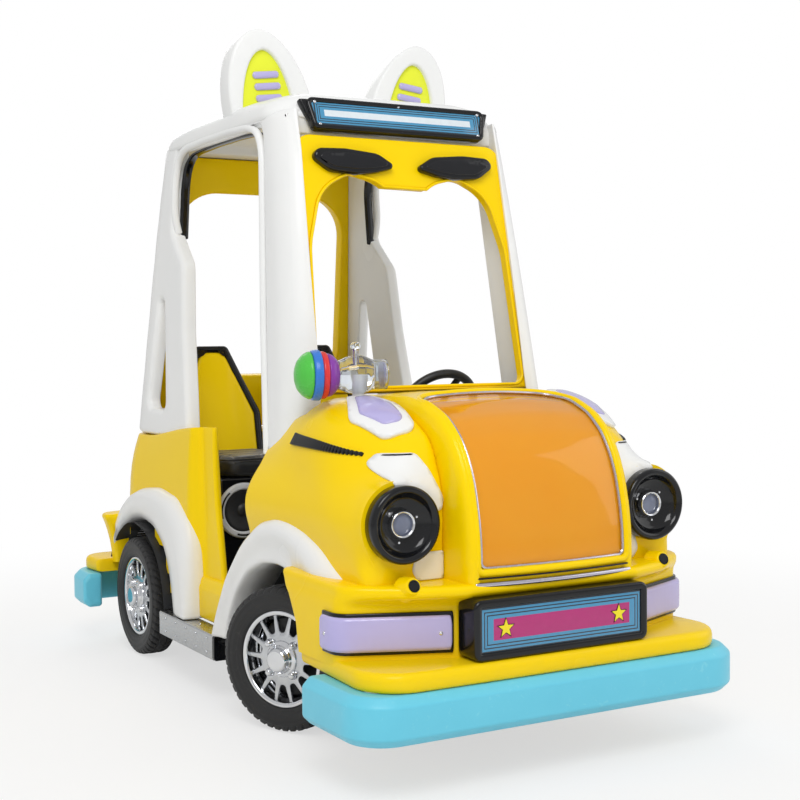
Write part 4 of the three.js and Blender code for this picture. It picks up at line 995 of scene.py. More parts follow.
def makeWindscreen(c):
    across, up, back = leaning(10)
    foot, bottom, top = np.array([0, -421, 854.4]), 856, 1528
    height = (top - foot[2]) / up[2]
    low, high = [c["inner"] - c["taper"] * (z - c["foot"]) - 0.6 for z in (bottom, top)]
    outer = rounded(mirrored([(low + 5, 1), (high + 8, height - 4, 50)]), 10, 20)
    # the top edge dips in the middle; that corner comes twice, so cleaned() drops it and the dip is cut square
    crest = height - 108
    opening = rounded(mirrored([(316, 11, 30), (300, crest - 190, 220), (258, crest - 40, 120), (166, crest + 8, 80),
                                (84, crest - 12, 110), (0, crest - 84, 70)]), 14, 8)
    board = plate(outer, 34.5, 7, [opening], backEdge=10, spacing=30)
    addPiece("windscreen_frame", *laid(board, across, up, back, foot), yellowGelcoat, "yellow_gelcoat",
             stands=["windscreen_frame"], sharp=50)
    edge = insetLoop(cleaned(opening), 1)
    ring = laid((np.column_stack([edge, np.full(len(edge), -1.0)]), []), across, up, back, foot)[0]
    addPiece("windscreen_bead", *tubed(ring, 4.0, 10, True, up=back), yellowGelcoat, "yellow_gelcoat", sharp=60)
    for name, sign in sides:
        pod = rounded([(u, v + height - 78, r) for u, v, r in browLamp], 8, 4) * [sign, 1]
        centre = pod.mean(0)
        lens = (pod - centre) * [0.86, 0.66] + centre
        for piece, outline, thick, edge, backEdge, spacing, off, finish, stands in (
                ("brow_lamp", pod, 21, 8, 1, 14, 21.3, blackGloss, [f"brow_lamp_{name}"]),
                ("brow_lens", lens, 6, 4, 0.5, 10, 23.6, smokeLens, [])):
            board = plate(outline, thick, edge, backEdge=backEdge, spacing=spacing)
            addPiece(f"{piece}_{name}", *laid(board, across, up, back, foot - back * off), finish, "gloss_black",
                     stands=stands, sharp=60)


def makeRearWindow(c):
    # a deep board that leans forward; rise is what its depth adds to its height
    across, up, back = leaning(-8)
    deep, bottom = 50, 700
    rise = -deep * up[1]
    top = 1573.7 - rise
    height = (top - bottom) / up[2]
    low, high = [c["inner"] - c["taper"] * (z - c["foot"]) - 0.8 for z in (bottom + 2 + 2 * rise, top + rise)]
    outer = rounded(mirrored([(low, rise + 0.6), (high, height - 1)]), 6, 20)
    opening = rounded(mirrored([(300, 178, 80), (288, height - 110, 130)]), 12, 20)
    board = plate(outer, deep, 6, [opening], backEdge=14, spacing=34)
    addPiece("rear_window_frame", *laid(board, across, up, back, (0, 745 - deep / up[2], bottom)), yellowGelcoat,
             "yellow_gelcoat", stands=["rear_window_frame"], sharp=50)


roofShape = {
    "half": 350, "front": -273, "rear": 606, "bottom": 1574, "crown": 1650.0, "ceiling": 1594.0, "lean": 16,
    # (inset, height) of the rings outside and inside
    "skin": [(18, 1569), (6, 1569), (1, 1573), (0, 1582), (0.5, 1592), (2, 1602), (5, 1611), (10, 1619), (17, 1626),
             (27, 1632), (40, 1637), (58, 1641.5), (84, 1645), (120, 1647.5), (165, 1649), (220, 1650)],
    "under": [(-6, 1569), (0, 1572), (6, 1586), (14, 1592), (60, 1594)],
}


def roofSkin():
    # rings of the plan are drawn in and lifted from the eaves to the crown; the brow leans back by 16 degrees,
    # and the rear droops: heights above the eaves shrink by up to 0.5 ((y - 300) / 306)^2
    r = roofShape
    plan = rounded(mirrored([(r["half"], r["front"] - 8, 104), (r["half"], r["rear"], 110)]), 18, 30)
    centre = np.array([0, (r["front"] + r["rear"]) / 2])
    reach = np.array([r["half"], (r["rear"] - r["front"]) / 2])
    rings = []
    for inset, z in r["skin"]:
        ring = (plan - centre) * (1 - inset / reach) + centre
        brow = np.clip((-ring[:, 1] - 60) / 120, 0, 1)
        kept = (plan[:, 1] - centre[1]) * (1 - 0.5 * inset / reach[1]) + centre[1]
        ring[:, 1] += brow * (kept - ring[:, 1]) * (inset < 80)
        ring[:, 1] += brow * (z - r["bottom"]) * math.tan(math.radians(r["lean"])) * (inset < 80)
        ring[:, 0] *= 1 - 0.06 * brow * np.clip((z - 1590) / 50, 0, 1)
        droop = 1 - 0.5 * np.clip((ring[:, 1] - 300) / 306, 0, 1) ** 2
        rings.append(np.column_stack([ring, 1569 + (z - 1569) * droop]))
    rings.append(np.broadcast_to([*centre, r["crown"]], rings[0].shape))
    skin = np.array(rings)
    inner = rounded(mirrored([(290, r["front"] + 56, 60), (290, r["rear"] - 116, 70)]), 18, 30)
    rings = [skin[0]]
    for inset, z in r["under"]:
        rings.append(np.column_stack([(inner - centre) * (1 - inset / 320) + centre, np.full(len(inner), float(z))]))
    rings.append(np.broadcast_to([*centre, r["ceiling"]], rings[0].shape))
    return joined(sheet(skin, True), sheet(np.array(rings), True))


def makeRoof():
    addPiece("roof", *roofSkin(), whiteGelcoat, "white_gelcoat", stands=["roof"], sharp=60)
    header = rounded([(-318, 1528, 12), (318, 1528, 12), (300, 1592, 4), (-300, 1592, 4)], 4)
    addPiece("roof_header", *laid(plate(header, 36, 5), *facingFront, (0, -270, 0)), whiteGelcoat, "white_gelcoat",
             sharp=50)
    rail = rounded([(-10, -12, 6), (10, -12, 6), (10, 12, 6), (-10, 12, 6)], 4)
    addBoth("roof_rail", *carried(straight(330.0, (-150, 540), 1568.0, 30), rail, ends=4), whiteGelcoat,
            "white_gelcoat", sharp=60)


def bezier(points, steps=26):
    # P(t) = (1-t)^3 a + 3 (1-t)^2 t b + 3 (1-t) t^2 c + t^3 d
    t = np.linspace(0, 1, steps)[:, None]
    a, b, c, d = (np.array(p, float) for p in points)
    return (1 - t) ** 3 * a + 3 * (1 - t) ** 2 * t * b + 3 * (1 - t) * t * t * c + t ** 3 * d


def makeEars():
    base, top = 1648.0, 1861.0
    outer = np.vstack([bezier([(92, base), (110, base + 110), (190, top - 2), (256, top)])[:-1],
                       bezier([(256, top), (330, top - 4), (364, base + 110), (348, base)]),
                       [(340, 1600), (300, 1588), (130, 1636), (96, 1640)]])
    inset = np.vstack([bezier([(152, base - 2), (168, base + 84), (208, base + 154), (244, base + 156)])[:-1],
                       bezier([(244, base + 156), (284, base + 152), (308, base + 84), (308, base - 16)])])
    blank = plate(outer, 72, 9, [inset], backEdge=9, spacing=16)
    addBoth("ear", *laid(blank, *facingFront, (0, 34, 0)), whiteGelcoat, "white_gelcoat", stands=["ear"], sharp=60)
    panel = plate(insetLoop(cleaned(inset), -4), 40, 2)
    addBoth("ear_inset", *laid(panel, *facingFront, (0, 48, 0)), limeGelcoat, "yellow_gelcoat", sharp=50)
    # three bars in each face, which drop by 8 as they run 64 outwards
    for side, y in (("front", 46.0), ("back", 90.0)):
        parts = [carried(straight((x, x + 64), y, (base + z, base + z - 8), 12), ellipse(6.5, 10, 16), ends=8)
                 for x, z in ((194, 28), (198, 60), (204, 92))]
        addBoth(f"ear_bars_{side}", *joined(*parts), lensWhite, "lamp_lens", sharp=60)


for make in (makePillars, makeDoorEdge, makeWindscreen, makeRearWindow):
    make(cabShape)
makeRoof()
makeEars()
print("cab made")


def starLoop(x, z, size):
    # five outer and five inner corners; the inner radius is 0.42 of the outer
    angle = pi / 2 + np.arange(10) * pi / 5
    radius = np.where(np.arange(10) % 2, 0.42, 1.0) * size
    return np.column_stack([x + radius * np.cos(angle), z + radius * np.sin(angle)])


def makeSign(name, outer, deep, rim, face, axes, origin, backAt, screws, screwProfile, stars=()):
    # a frame round a printed panel, closed by a back board, with chrome screws and stars on the panel;
    # an origin that is set back by w leaves the frame's front at w = 0
    loop = cleaned(outer)
    def board(outline, thick, edge, w, **more):
        return laid(plate(outline, thick, edge, **more), *axes, origin + axes[2] * w)
    addPiece(name, *board(outer, deep, 7, 0, holes=[insetLoop(loop, rim)], backEdge=2), blackGloss, "gloss_black",
             stands=[name], sharp=50)
    addPiece(f"{name}_face", *board(insetLoop(loop, rim - 2), 6, 1.5, 6), face, "sign_panel")
    addPiece(f"{name}_back", *board(insetLoop(loop, rim - 2), 4, 1, backAt), blackGloss, "gloss_black")
    if stars:
        for part, grow, thick, edge, w, finish in (("stars", 0, 1.6, 0.4, 4.1, starPaint),
                                                   ("star_edges", 4, 1.2, 0.3, 4.9, blackGloss)):
            marks = [board(starLoop(x, z, size + grow), thick, edge, w) for x, z, size in stars]
            addPiece(f"{name}_{part}", *joined(*marks), finish, "sign_panel", sharp=30)
    heads = [turned(screwProfile, origin + np.array([x, v, 3.5]) @ axes, axes[2], 18) for x, v in screws]
    addPiece(f"{name}_screws", *joined(*heads), chrome, "chrome_alloy", sharp=50)


signShape = {
    "front": {"half": 242, "high": 137, "deep": 70, "rim": 19, "origin": (0, -1032, 279.5), "backAt": 62,
              "stars": [(-158, 68.5, 21), (158, 68.5, 21)],
              "screws": [(0, 9.5), (0, 127.5), (-232, 20), (-232, 117), (232, 20), (232, 117)],
              "screw": [(0, -3), (3, -2.8), (4.6, -1.6), (5, 0), (5, 3)]},
    "roof": {"half": 270, "high": 88, "deep": 29.5, "rim": 14, "foot": 1531.0, "lean": 16, "proud": 30.3,
             "backAt": 24,
             "screws": [(-243, 12), (243, 12), (-251, 74), (251, 74), (0, 7), (0, 79)],
             "screw": [(0, -3), (3, -2.8), (4.2, -1.6), (4.6, 0), (4.6, 3)]},
}


def makeSigns(front, roof):
    half, high = front["half"], front["high"]
    face = printedSign("blue printed acrylic", (0, -1.02, 0.3475), (0.223, 0.049), "#4190BA", "#B3106F",
                       (0.19, 0.024), ((0.0, 0.005), (0.009, 0.0026), (0.0165, 0.0026)))
    outer = rounded([(-half, 0, 20), (half, 0, 20), (half, high, 20), (-half, high, 20)], 8, 10)
    makeSign("front_sign", outer, front["deep"], front["rim"], face, np.array(facingFront, float),
             np.array(front["origin"]), front["backAt"], front["screws"], front["screw"], front["stars"])

    # the roof sign leans back with the brow of the roof and stands proud of it
    axes, half, high = leaning(roof["lean"]), roof["half"], roof["high"]
    brow = roofShape["front"] + (roof["foot"] - roofShape["bottom"]) * math.tan(math.radians(roof["lean"]))
    origin = np.array([0, brow, roof["foot"]]) - axes[2] * roof["proud"]
    centre = (origin + axes[1] * high / 2) * mm
    face = printedSign("blue printed acrylic strip", (0, centre[1], centre[2]), (0.252, 0.030), "#4190BA", "#DDE6EC",
                       (0.225, 0.0085), ((0.0, 0.004), (0.0075, 0.0022), (0.0135, 0.0022)))
    outer = rounded([(10 - half, 0, 16), (half - 10, 0, 16), (half + 8, high, 20), (-half - 8, high, 20)], 8, 10)
    makeSign("roof_sign", outer, roof["deep"], roof["rim"], face, axes, origin, roof["backAt"], roof["screws"],
             roof["screw"])
    # black returns fair the sign's ends into the roof
    wing = rounded([(0, 4, 6), (22, 44, 4), (38, 84, 4), (0, 86, 6)], 5, 4)
    shape = laid(plate(wing, 22, 6), *axes, origin + np.array([half - 16, 0, 0]) + axes[2] * 9)
    addBoth("roof_sign_wing", *shape, blackGloss, "gloss_black", sharp=50)


makeSigns(signShape["front"], signShape["roof"])


lampShape = {
    # stepped profiles turned about the lamp's axis: (radius, forward of the pod face)
    "centre": (352, -896, 580),
    "dish": [(0, 4), (33, 4), (34, 5), (36, 5), (37, 6), (47, 8), (48, 10), (50, 10.5), (51, 10), (60, 14), (66, 21),
             (69, 26), (71, 30), (74, 33), (79, 35), (84, 34), (87.5, 30), (88, 24), (88, 0), (80, -14), (0, -14)],
    "ring": [(24.5, 5), (24.5, 14), (26, 17), (29, 18), (31.5, 16), (32.5, 12), (32.5, 5), (24.5, 5)],
    "glass": [(0, 12.5), (8, 12.2), (16, 11), (22, 9), (24.6, 7), (24.6, 4.5), (0, 4.5)],
    "screw": [(0, 5.5), (2.6, 5.2), (3.2, 4), (3.2, 2)], "screwCircle": 41, "screwAngles": (40, 160, 280),
}


def makeHeadlamp(shape):
    dish, centre, forward = shape["dish"], np.array(shape["centre"]), (0, -1, 0)
    line = np.vstack([smoothed(dish[:-3], 2.5, 3, 2.5), dish[-3:]])
    spots = [centre + [shape["screwCircle"] * math.cos(a), -4, shape["screwCircle"] * math.sin(a)]
             for a in np.radians(shape["screwAngles"])]
    screws = joined(*[turned(shape["screw"], spot, forward, 14) for spot in spots])
    for name, part, finish, slot, stands, sharp in (
            ("headlamp", turned(line, centre, forward, 96), blackGloss, "gloss_black", ["headlamp"], 45),
            ("headlamp_ring", turned(shape["ring"], centre, forward, 64), chrome, "chrome_alloy", [], 50),
            ("headlamp_bulb", turned(shape["glass"], centre, forward, 48), bulbGlass, "lamp_lens", [], 50),
            ("headlamp_screws", screws, chrome, "chrome_alloy", [], 50)):
        addBoth(name, *part, finish, slot, stands=stands, sharp=sharp)


makeHeadlamp(lampShape)


def makeMarker():
    # a lens following the band's plan from z 295 to 380, on a black gasket, with two screws
    band = rounded([(486.3, -785), (486.3, -850, 45), (355, -906.5, 90), (250, -949.5)], 12, 20, closed=False)
    band = evenly(band, 7)
    z = 337.5
    path = np.column_stack([band, np.full(len(band), z)])
    gasket = rounded([(-1, -47, 2), (6, -47, 4), (6, 47, 4), (-1, 47, 2)], 4)
    lens = rounded([(3, -39, 2), (10, -39, 5), (15, -33, 10), (15.5, 0, 30), (15, 33, 10), (10, 39, 5), (3, 39, 2)],
                   5, 3)
    addBoth("marker_gasket", *carried(path, gasket * [-1, 1], ends=3), blackGloss, "gloss_black", sharp=60)
    addBoth("marker_lamp", *carried(path[1:-1], lens * [-1, 1], ends=5), lensWhite, "lamp_lens",
            stands=["marker_lamp"], sharp=60)
    heads = []
    for k in (4, -5):
        tangent = path[k + 1] - path[k - 1]
        outward = np.cross(tangent, (0, 0, 1))
        outward /= np.linalg.norm(outward)
        if outward @ (path[k] - [0, -400, z]) < 0:
            outward = -outward
        heads.append(turned([(0, 3), (3.4, 2.7), (4.8, 1.4), (5, 0), (5, -4)], path[k] + outward * 14.5, outward, 18))
    addBoth("marker_screws", *joined(*heads), chrome, "chrome_alloy", sharp=50)


makeMarker()
print("lamps and signs made")


# tyre and rim profiles are (radius, along the axle, outwards +)
wheelShape = {
    "outer": 185, "half": 42.5, "seat": 124.6, "windows": 14, "blocks": 46,
    "places": {"front_left": ((382.92, -314.49, 185), 27), "front_right": ((-382.92, -373.51, 185), 207),
               "rear_left": ((390, 666, 185), 0), "rear_right": ((-390, 666, 185), 180)},
}


def axleOf(degrees):
    turn = math.radians(degrees)
    return np.array([math.cos(turn), math.sin(turn), 0.0])


def tyreGrid(steps=368):
    # rounded carcass profile, then the tread is sunk: two rings and slanted sipes on each shoulder,
    # depth where frac(blocks * angle / 2 pi + slant * along) is small
    w = wheelShape
    line = rounded([(125, 34), (128, 38, 4), (150, 42.5, 14), (168, 42, 14), (181, 36, 8), (184.4, 26, 12),
                    (185, 0, 90), (184.4, -26, 12), (181, -36, 8), (168, -42, 14), (150, -42.5, 14), (128, -38, 4),
                    (125, -34)], 5, 1, closed=False)
    line = evenly(line, 2.0)
    angle = np.linspace(0, 2 * pi, steps, endpoint=False)
    a, s = np.meshgrid(angle, np.arange(len(line)), indexing="ij")
    radius, along = line[s, 0], line[s, 1]
    tread = radius > 171
    ringed = np.clip((3.2 - np.abs(np.abs(along) - 13)) / 1.2, 0, 1)
    slant = a * w["blocks"] / (2 * pi) + np.abs(along) * 0.03
    wave = np.abs((slant % 1.0) - 0.5)
    sipe = np.clip((0.17 - wave) / 0.06, 0, 1) * (np.abs(along) > 15) * (np.abs(along) < 41)
    middle = np.abs(((slant * 0.5 + along * 0.04) % 1.0) - 0.5)
    fine = np.clip((0.07 - middle) / 0.04, 0, 1) * (np.abs(along) < 8)
    depth = np.maximum(np.maximum(ringed, sipe), fine * 0.6) * 4.0 * tread
    # raised rings on the side wall
    ribs = sum(1.1 * np.exp(-((radius - r) / 1.3) ** 2) for r in (136, 163, 166.5)) * (np.abs(along) > 36)
    return radius - depth, along + np.sign(along) * ribs * 0.9, a


def placed(radius, along, angle, centre, axis):
    # P = centre + axis * along + radius (cos a * e1 + sin a * e2)
    first = np.cross(axis, (0, 0, 1.0))
    return (np.asarray(centre, float) + along[..., None] * axis
            + radius[..., None] * (np.cos(angle)[..., None] * first
                                   + np.sin(angle)[..., None] * np.array([0, 0, 1.0])))


def rimDisc():
    # a flat ring with rounded-trapezoid windows, then dished: along = 25 + 5 (1 - (r / 112)^2)
    w = wheelShape
    turn = np.linspace(0, 2 * pi, 140, endpoint=False)
    outer = np.column_stack([113.5 * np.cos(turn), 113.5 * np.sin(turn)])
    bore = np.column_stack([20 * np.cos(turn[::4]), 20 * np.sin(turn[::4])])
    holes = []
    for k in range(w["windows"]):
        a = 2 * pi * (k + 0.5) / w["windows"]
        shape = rounded([(67, -7.5, 8), (111, -21, 5), (111, 21, 5), (67, 7.5, 8)], 5, 3)
        holes.append(shape @ np.array([[math.cos(a), math.sin(a)], [-math.sin(a), math.cos(a)]]))
    points, faces = plate(outer, 9, 2, [bore, *holes], backEdge=2, spacing=9, steps=2)
    radius = np.hypot(points[:, 0], points[:, 1])
    # the spokes stand up a little as they reach the lip
    along = 28 - 4 * (radius / 112) ** 2 - points[:, 2]
    return radius, along, np.arctan2(points[:, 1], points[:, 0]), faces


def wheelParts(centre, axis):
    radius, along, angle = tyreGrid()
    tyre = placed(radius, along, angle, centre, axis), gridFaces(*radius.shape, True, False)
    inner = np.array([(124.8, 34), (124.8, -34)])
    a, s = np.meshgrid(angle[:, 0], [0, 1], indexing="ij")
    tyreInside = placed(inner[s, 0], inner[s, 1], a, centre, axis), gridFaces(*a.shape, True, False)[:, ::-1]
    *disc, faces = rimDisc()
    lip = turned(evenly(rounded([(104, 10, 4), (108, 19, 5), (110, 24, 3), (111, 31, 3), (114, 33.5, 3),
                                 (121, 34.5, 2), (124.4, 33, 2), (124.4, -33), (104, -33)], 5, 1), 3),
                 centre, axis, 120)
    drum = turned([(0, -12), (98, -12), (102, -16), (102, -28), (0, -28)], centre, axis, 60)
    hub = rounded([(0, 25), (46, 25, 3), (47, 30, 3), (41, 33, 4), (36, 34, 3), (34, 39, 3), (31, 40, 2),
                   (31, 50, 4), (26, 55.5, 5), (0, 55.5)], 5, 1, closed=False)
    hub = turned(evenly(hub, 2.2), centre, axis, 72)
    nutSpots = placed(np.full(4, 52.0), np.full(4, 28.0), pi / 4 + np.arange(4) * pi / 2, centre, axis)
    nuts = [turned([(0, 16), (5, 15.4), (8.5, 12.5), (9.6, 9), (9.8, 6), (10.6, 5), (11.4, 2.5), (11.4, -6)],
                   spot, axis, 24) for spot in nutSpots]
    valveSpot = placed(np.array([104.0]), np.array([20.0]), np.array([1.1]), centre, axis)[0]
    valve = turned([(0, 12), (2.6, 11.6), (3.4, 10), (3.4, -2)], valveSpot, axis, 14)
    return joined(tyre, tyreInside), lip, (placed(*disc, centre, axis), faces), drum, hub, joined(*nuts), valve


# name, finish, slot, whether it stands for the tyre or the rim, and the angle of its sharp edges
wheelPieces = (
    ("tyre", tyreRubber, "tyre_rubber", "tyre", 32), ("rim_lip", chrome, "chrome_alloy", "rim", 50),
    ("rim_disc", castAlloy, "chrome_alloy", None, 40), ("brake_drum", darkSteel, "dark_steel", None, 40),
    ("hub_cap", chrome, "chrome_alloy", None, 40), ("lug_nuts", chrome, "chrome_alloy", None, 40),
    ("valve", blackGloss, "chrome_alloy", None, 50))
for place, (centre, degrees) in wheelShape["places"].items():
    for (name, finish, slot, node, sharp), part in zip(wheelPieces, wheelParts(centre, axleOf(degrees))):
        addPiece(f"{name}_{place}", *part, finish, slot, f"wheel_{place}", [f"{node}_{place}"] if node else [],
                 sharp=sharp)
print("wheels made")


seatShape = {
    "x": 184, "half": 145, "rear": 500.3, "bottom": 590, "top": 977, "lean": 14.5,
    "cushion": {"half": (136.0, 150.0), "middle": (338, 620), "thick": 24, "channels": (268, 338, 408), "seam": 88,
                # (share of the half width, share of the thickness) from the crown to the base
                "rows": [(0.0, 1), (0.3, 1), (0.6, 1), (0.8, 0.99), (0.9, 0.93), (0.96, 0.8), (1.0, 0.4),
                         (1.0, -0.4), (0.97, -0.85), (0.9, -1), (0.6, -1), (0.0, -1)],
                "fits": ((-141, 141), (186, 491), (591, 657))},
}


def seatBack(name, side):
    s = seatShape
    axes = leaning(s["lean"])
    height = (s["top"] - s["bottom"]) / axes[1][2]
    origin = (side * s["x"], s["rear"], s["bottom"])
    outer = rounded(mirrored([(s["half"] - 4, 1, 12), (s["half"], 180, 60), (s["half"] - 46, 288, 50),
                              (54, height, 20)]),
                    10, 10)
    rim = laid(plate(outer, 35, 12, [insetLoop(cleaned(outer), 24)], backEdge=10), *axes, origin)
    addPiece(f"seat_rim_{name}", *rim, blackGloss, "gloss_black", sharp=60)
    # the panel swells forward: w = -8 cos(pi u / 2a) sin(pi v / h), less a crease on each side, and is flat behind
    points, faces = plate(insetLoop(cleaned(outer), 22), 26, 9, spacing=13)
    rising = np.sin(np.clip(points[:, 1] / height, 0, 1) * pi)
    swell = np.cos(np.clip(points[:, 0] / 130, -1, 1) * pi / 2) * rising
    crease = 3.0 * np.exp(-((np.abs(points[:, 0]) - 62) / 6) ** 2) * rising
    points[:, 2] += 5 - np.where(points[:, 2] < 13, 8 * swell - crease, 0)
    addPiece(f"seat_back_{name}", *laid((points, faces), *axes, origin), yellowGelcoat, "yellow_gelcoat",
             stands=[f"seat_back_{name}"], sharp=60)


def cushionShell(side):
    # a rounded slab whose plan is |x/a|^5 + |y/b|^5 = 1, built from rings that run from crown to base
    c = seatShape["cushion"]
    turn = np.linspace(0, 2 * pi, 96, endpoint=False)
    plan = np.column_stack([np.cos(turn), np.sin(turn)])
    plan *= (np.abs(plan) ** 5).sum(1)[:, None] ** (-1 / 5) * c["half"]
    y, z = c["middle"]
    middle = [side * seatShape["x"], y]
    return sheet(np.array([np.column_stack([plan * r + middle, np.full(96, z + c["thick"] * lift)])
                           for r, lift in c["rows"]]), True)


def coordinates(mesh):
    place = np.empty(len(mesh.vertices) * 3)
    mesh.vertices.foreach_get("co", place)
    return place.reshape(-1, 3)


def inflated(thing, pressure=4.0, cap=9.0):
    # the cushion is blown up as cloth, and no point may travel further than the cap
    remesh = thing.modifiers.new("skin", "REMESH")
    remesh.mode, remesh.voxel_size = "VOXEL", 6 * mm
    graph = bpy.context.evaluated_depsgraph_get()
    base = bpy.data.meshes.new_from_object(thing.evaluated_get(graph))
    thing.modifiers.clear()
    thing.data = base
    start = coordinates(base)
    cloth = thing.modifiers.new("cloth", "CLOTH")
    cloth.settings.use_pressure = True
    cloth.settings.uniform_pressure_force = pressure
    cloth.settings.effector_weights.gravity = 0
    cloth.settings.quality = 4
    for step in range(1, 21):
        scene.frame_set(step)
    graph = bpy.context.evaluated_depsgraph_get()
    final = bpy.data.meshes.new_from_object(thing.evaluated_get(graph))
    move = coordinates(final) - start
    thing.modifiers.clear()
    scene.frame_set(1)
    length = np.linalg.norm(move, axis=1, keepdims=True)
    move *= np.minimum(1, cap * mm / np.maximum(length, 1e-9))
    final.vertices.foreach_set("co", (start + move).ravel())
    thing.data = final


def sewn(thing, side):
    # sewn channels across the seat and a seam down each side: the top sinks by 5 or 4 exp(-(d / 4.5)^2),
    # d away from the line, and everything is kept inside the seat's own space, flat below
    c, data = seatShape["cushion"], thing.data
    middle = side * seatShape["x"]
    x, y, z = coordinates(data).T / mm
    top = np.clip((z - 628) / 10, 0, 1)
    for along, lines, depth in ((y, c["channels"], 5), (np.abs(x - middle), (c["seam"],), 4)):
        for line in lines:
            z -= depth * np.exp(-((along - line) / 4.5) ** 2) * top
    fits = zip((x - middle, y, z), c["fits"])
    place = np.column_stack([np.clip(value, *limits) for value, limits in fits]) + [middle, 0, 0]
    data.vertices.foreach_set("co", (place * mm).ravel())
    data.polygons.foreach_set("use_smooth", np.ones(len(data.polygons), bool))
    data.update()


def makeSeat(name, side):
    seatBack(name, side)
    thing = addPiece(f"seat_cushion_{name}", *cushionShell(side), seatVinyl, "cushion_vinyl",
                     stands=[f"seat_cushion_{name}"], sharp=180)
    inflated(thing)
    sewn(thing, side)
    if not thing.data.materials:
        thing.data.materials.append(seatVinyl)
    finer = thing.modifiers.new("finer", "SUBSURF")
    finer.levels = finer.render_levels = 1
    loop = rounded([(-134, -147, 26), (134, -147, 26), (134, 147, 26), (-134, 147, 26)], 8, 12)
    middle = [side * seatShape["x"], seatShape["cushion"]["middle"][0]]
    path = np.column_stack([loop + middle, np.full(len(loop), 643.0)])
    addPiece(f"seat_piping_{name}", *tubed(path, 3.2, 10, True), gripPlastic, "cushion_vinyl", sharp=60)


for name, side in sides:
    makeSeat(name, side)


speakerShape = {
    "place": (252, 205.0, 492.0), "slotCircle": 72,
    "ring": [(62, -2), (62, 5, 3), (66, 9, 4), (78, 9, 4), (82, 4, 4), (82, -2)],
    "cone": [(0, 6), (12, 5), (18, 1), (20, -1), (52, 3), (56, 5), (62, 4), (62, -1.5), (0, -1.5)],
}


def closedRing(profile, *steps):
    # a rounded profile whose last point repeats the first, ready to be turned about an axis it doesn't reach
    line = rounded(profile, *steps)
    return np.vstack([line, line[:1]])


def makeRiser(shape):
    box = rounded([(-328, 206, 14), (328, 206, 14), (328, 498, 10), (-328, 498, 10)], 5)
    addPiece("seat_base", *laid(plate(box, 320, 8), *facingDown, (0, 0, 589)), blackGloss, "gloss_black",
             stands=["seat_base"], sharp=50)
    x, y, z = shape["place"]
    ring, r = closedRing(shape["ring"], 4, 2), shape["slotCircle"]
    for name, side in sides:
        centre, forward = np.array([side * x, y, z]), (0, -1, 0)
        slots = []
        for k in range(3):
            a = np.linspace(0.2, 1.3, 12) + k * 2 * pi / 3
            path = np.column_stack([side * x + r * np.cos(a), np.full(12, y - 7.5), z + r * np.sin(a)])
            slots.append(tubed(path, 3.4, 8, up=(0, 1, 0)))
        for part, made, finish, slot, sharp in (
                ("ring", turned(ring, centre, forward, 72), silverPaint, "chrome_alloy", 50),
                ("cone", turned(shape["cone"], centre, forward, 60), gripPlastic, "soft_grip", 50),
                ("slots", joined(*slots), blackGloss, "gloss_black", 60)):
            addPiece(f"speaker_{part}_{name}", *made, finish, slot, sharp=sharp)


def makeDash():
    # a rounded bar between the side walls; its dials and knobs face out, along (0, cos 0.12, sin 0.12)
    profile = rounded([(-443, 641, 6), (-443, 798, 8), (-374, 798, 14), (-345, 762, 24), (-352, 651, 16),
                       (-372, 641, 8)], 8)
    half = 345.2
    bar = laid(plate(profile, 2 * half, 4), (0, 1, 0), (0, 0, 1), (1, 0, 0), (-half, 0, 0))
    addPiece("dashboard", *bar, gripPlastic, "soft_grip", stands=["dashboard"], sharp=50)
    out = np.array([0, math.cos(0.12), math.sin(0.12)])
    dial = closedRing([(26, -2), (26, 5, 2), (30, 8, 3), (33, 5, 2), (33, -2)], 4)
    for k, (x, size) in enumerate(((165, 1.25), (70, 0.8), (250, 0.8))):
        spot = np.array([x, -345.0, 716])
        addPiece(f"gauge_ring_{k + 1}", *turned(dial * size, spot, out, 48), chrome, "chrome_alloy", sharp=50)
        addPiece(f"gauge_face_{k + 1}", *turned(np.array([(0, 3), (26, 3), (26, -2), (0, -2)]) * size, spot, out, 40),
                 bulbGlass, "gloss_black", sharp=50)
    knobs = [turned([(0, 13), (6, 12.6), (8, 10), (8.6, 3), (11, 1), (11, -2)], (x, -346, 712), out, 24)
             for x in (-60, -110, -160, -210)]
    addPiece("dash_knobs", *joined(*knobs), starPaint, "gloss_black", sharp=50)


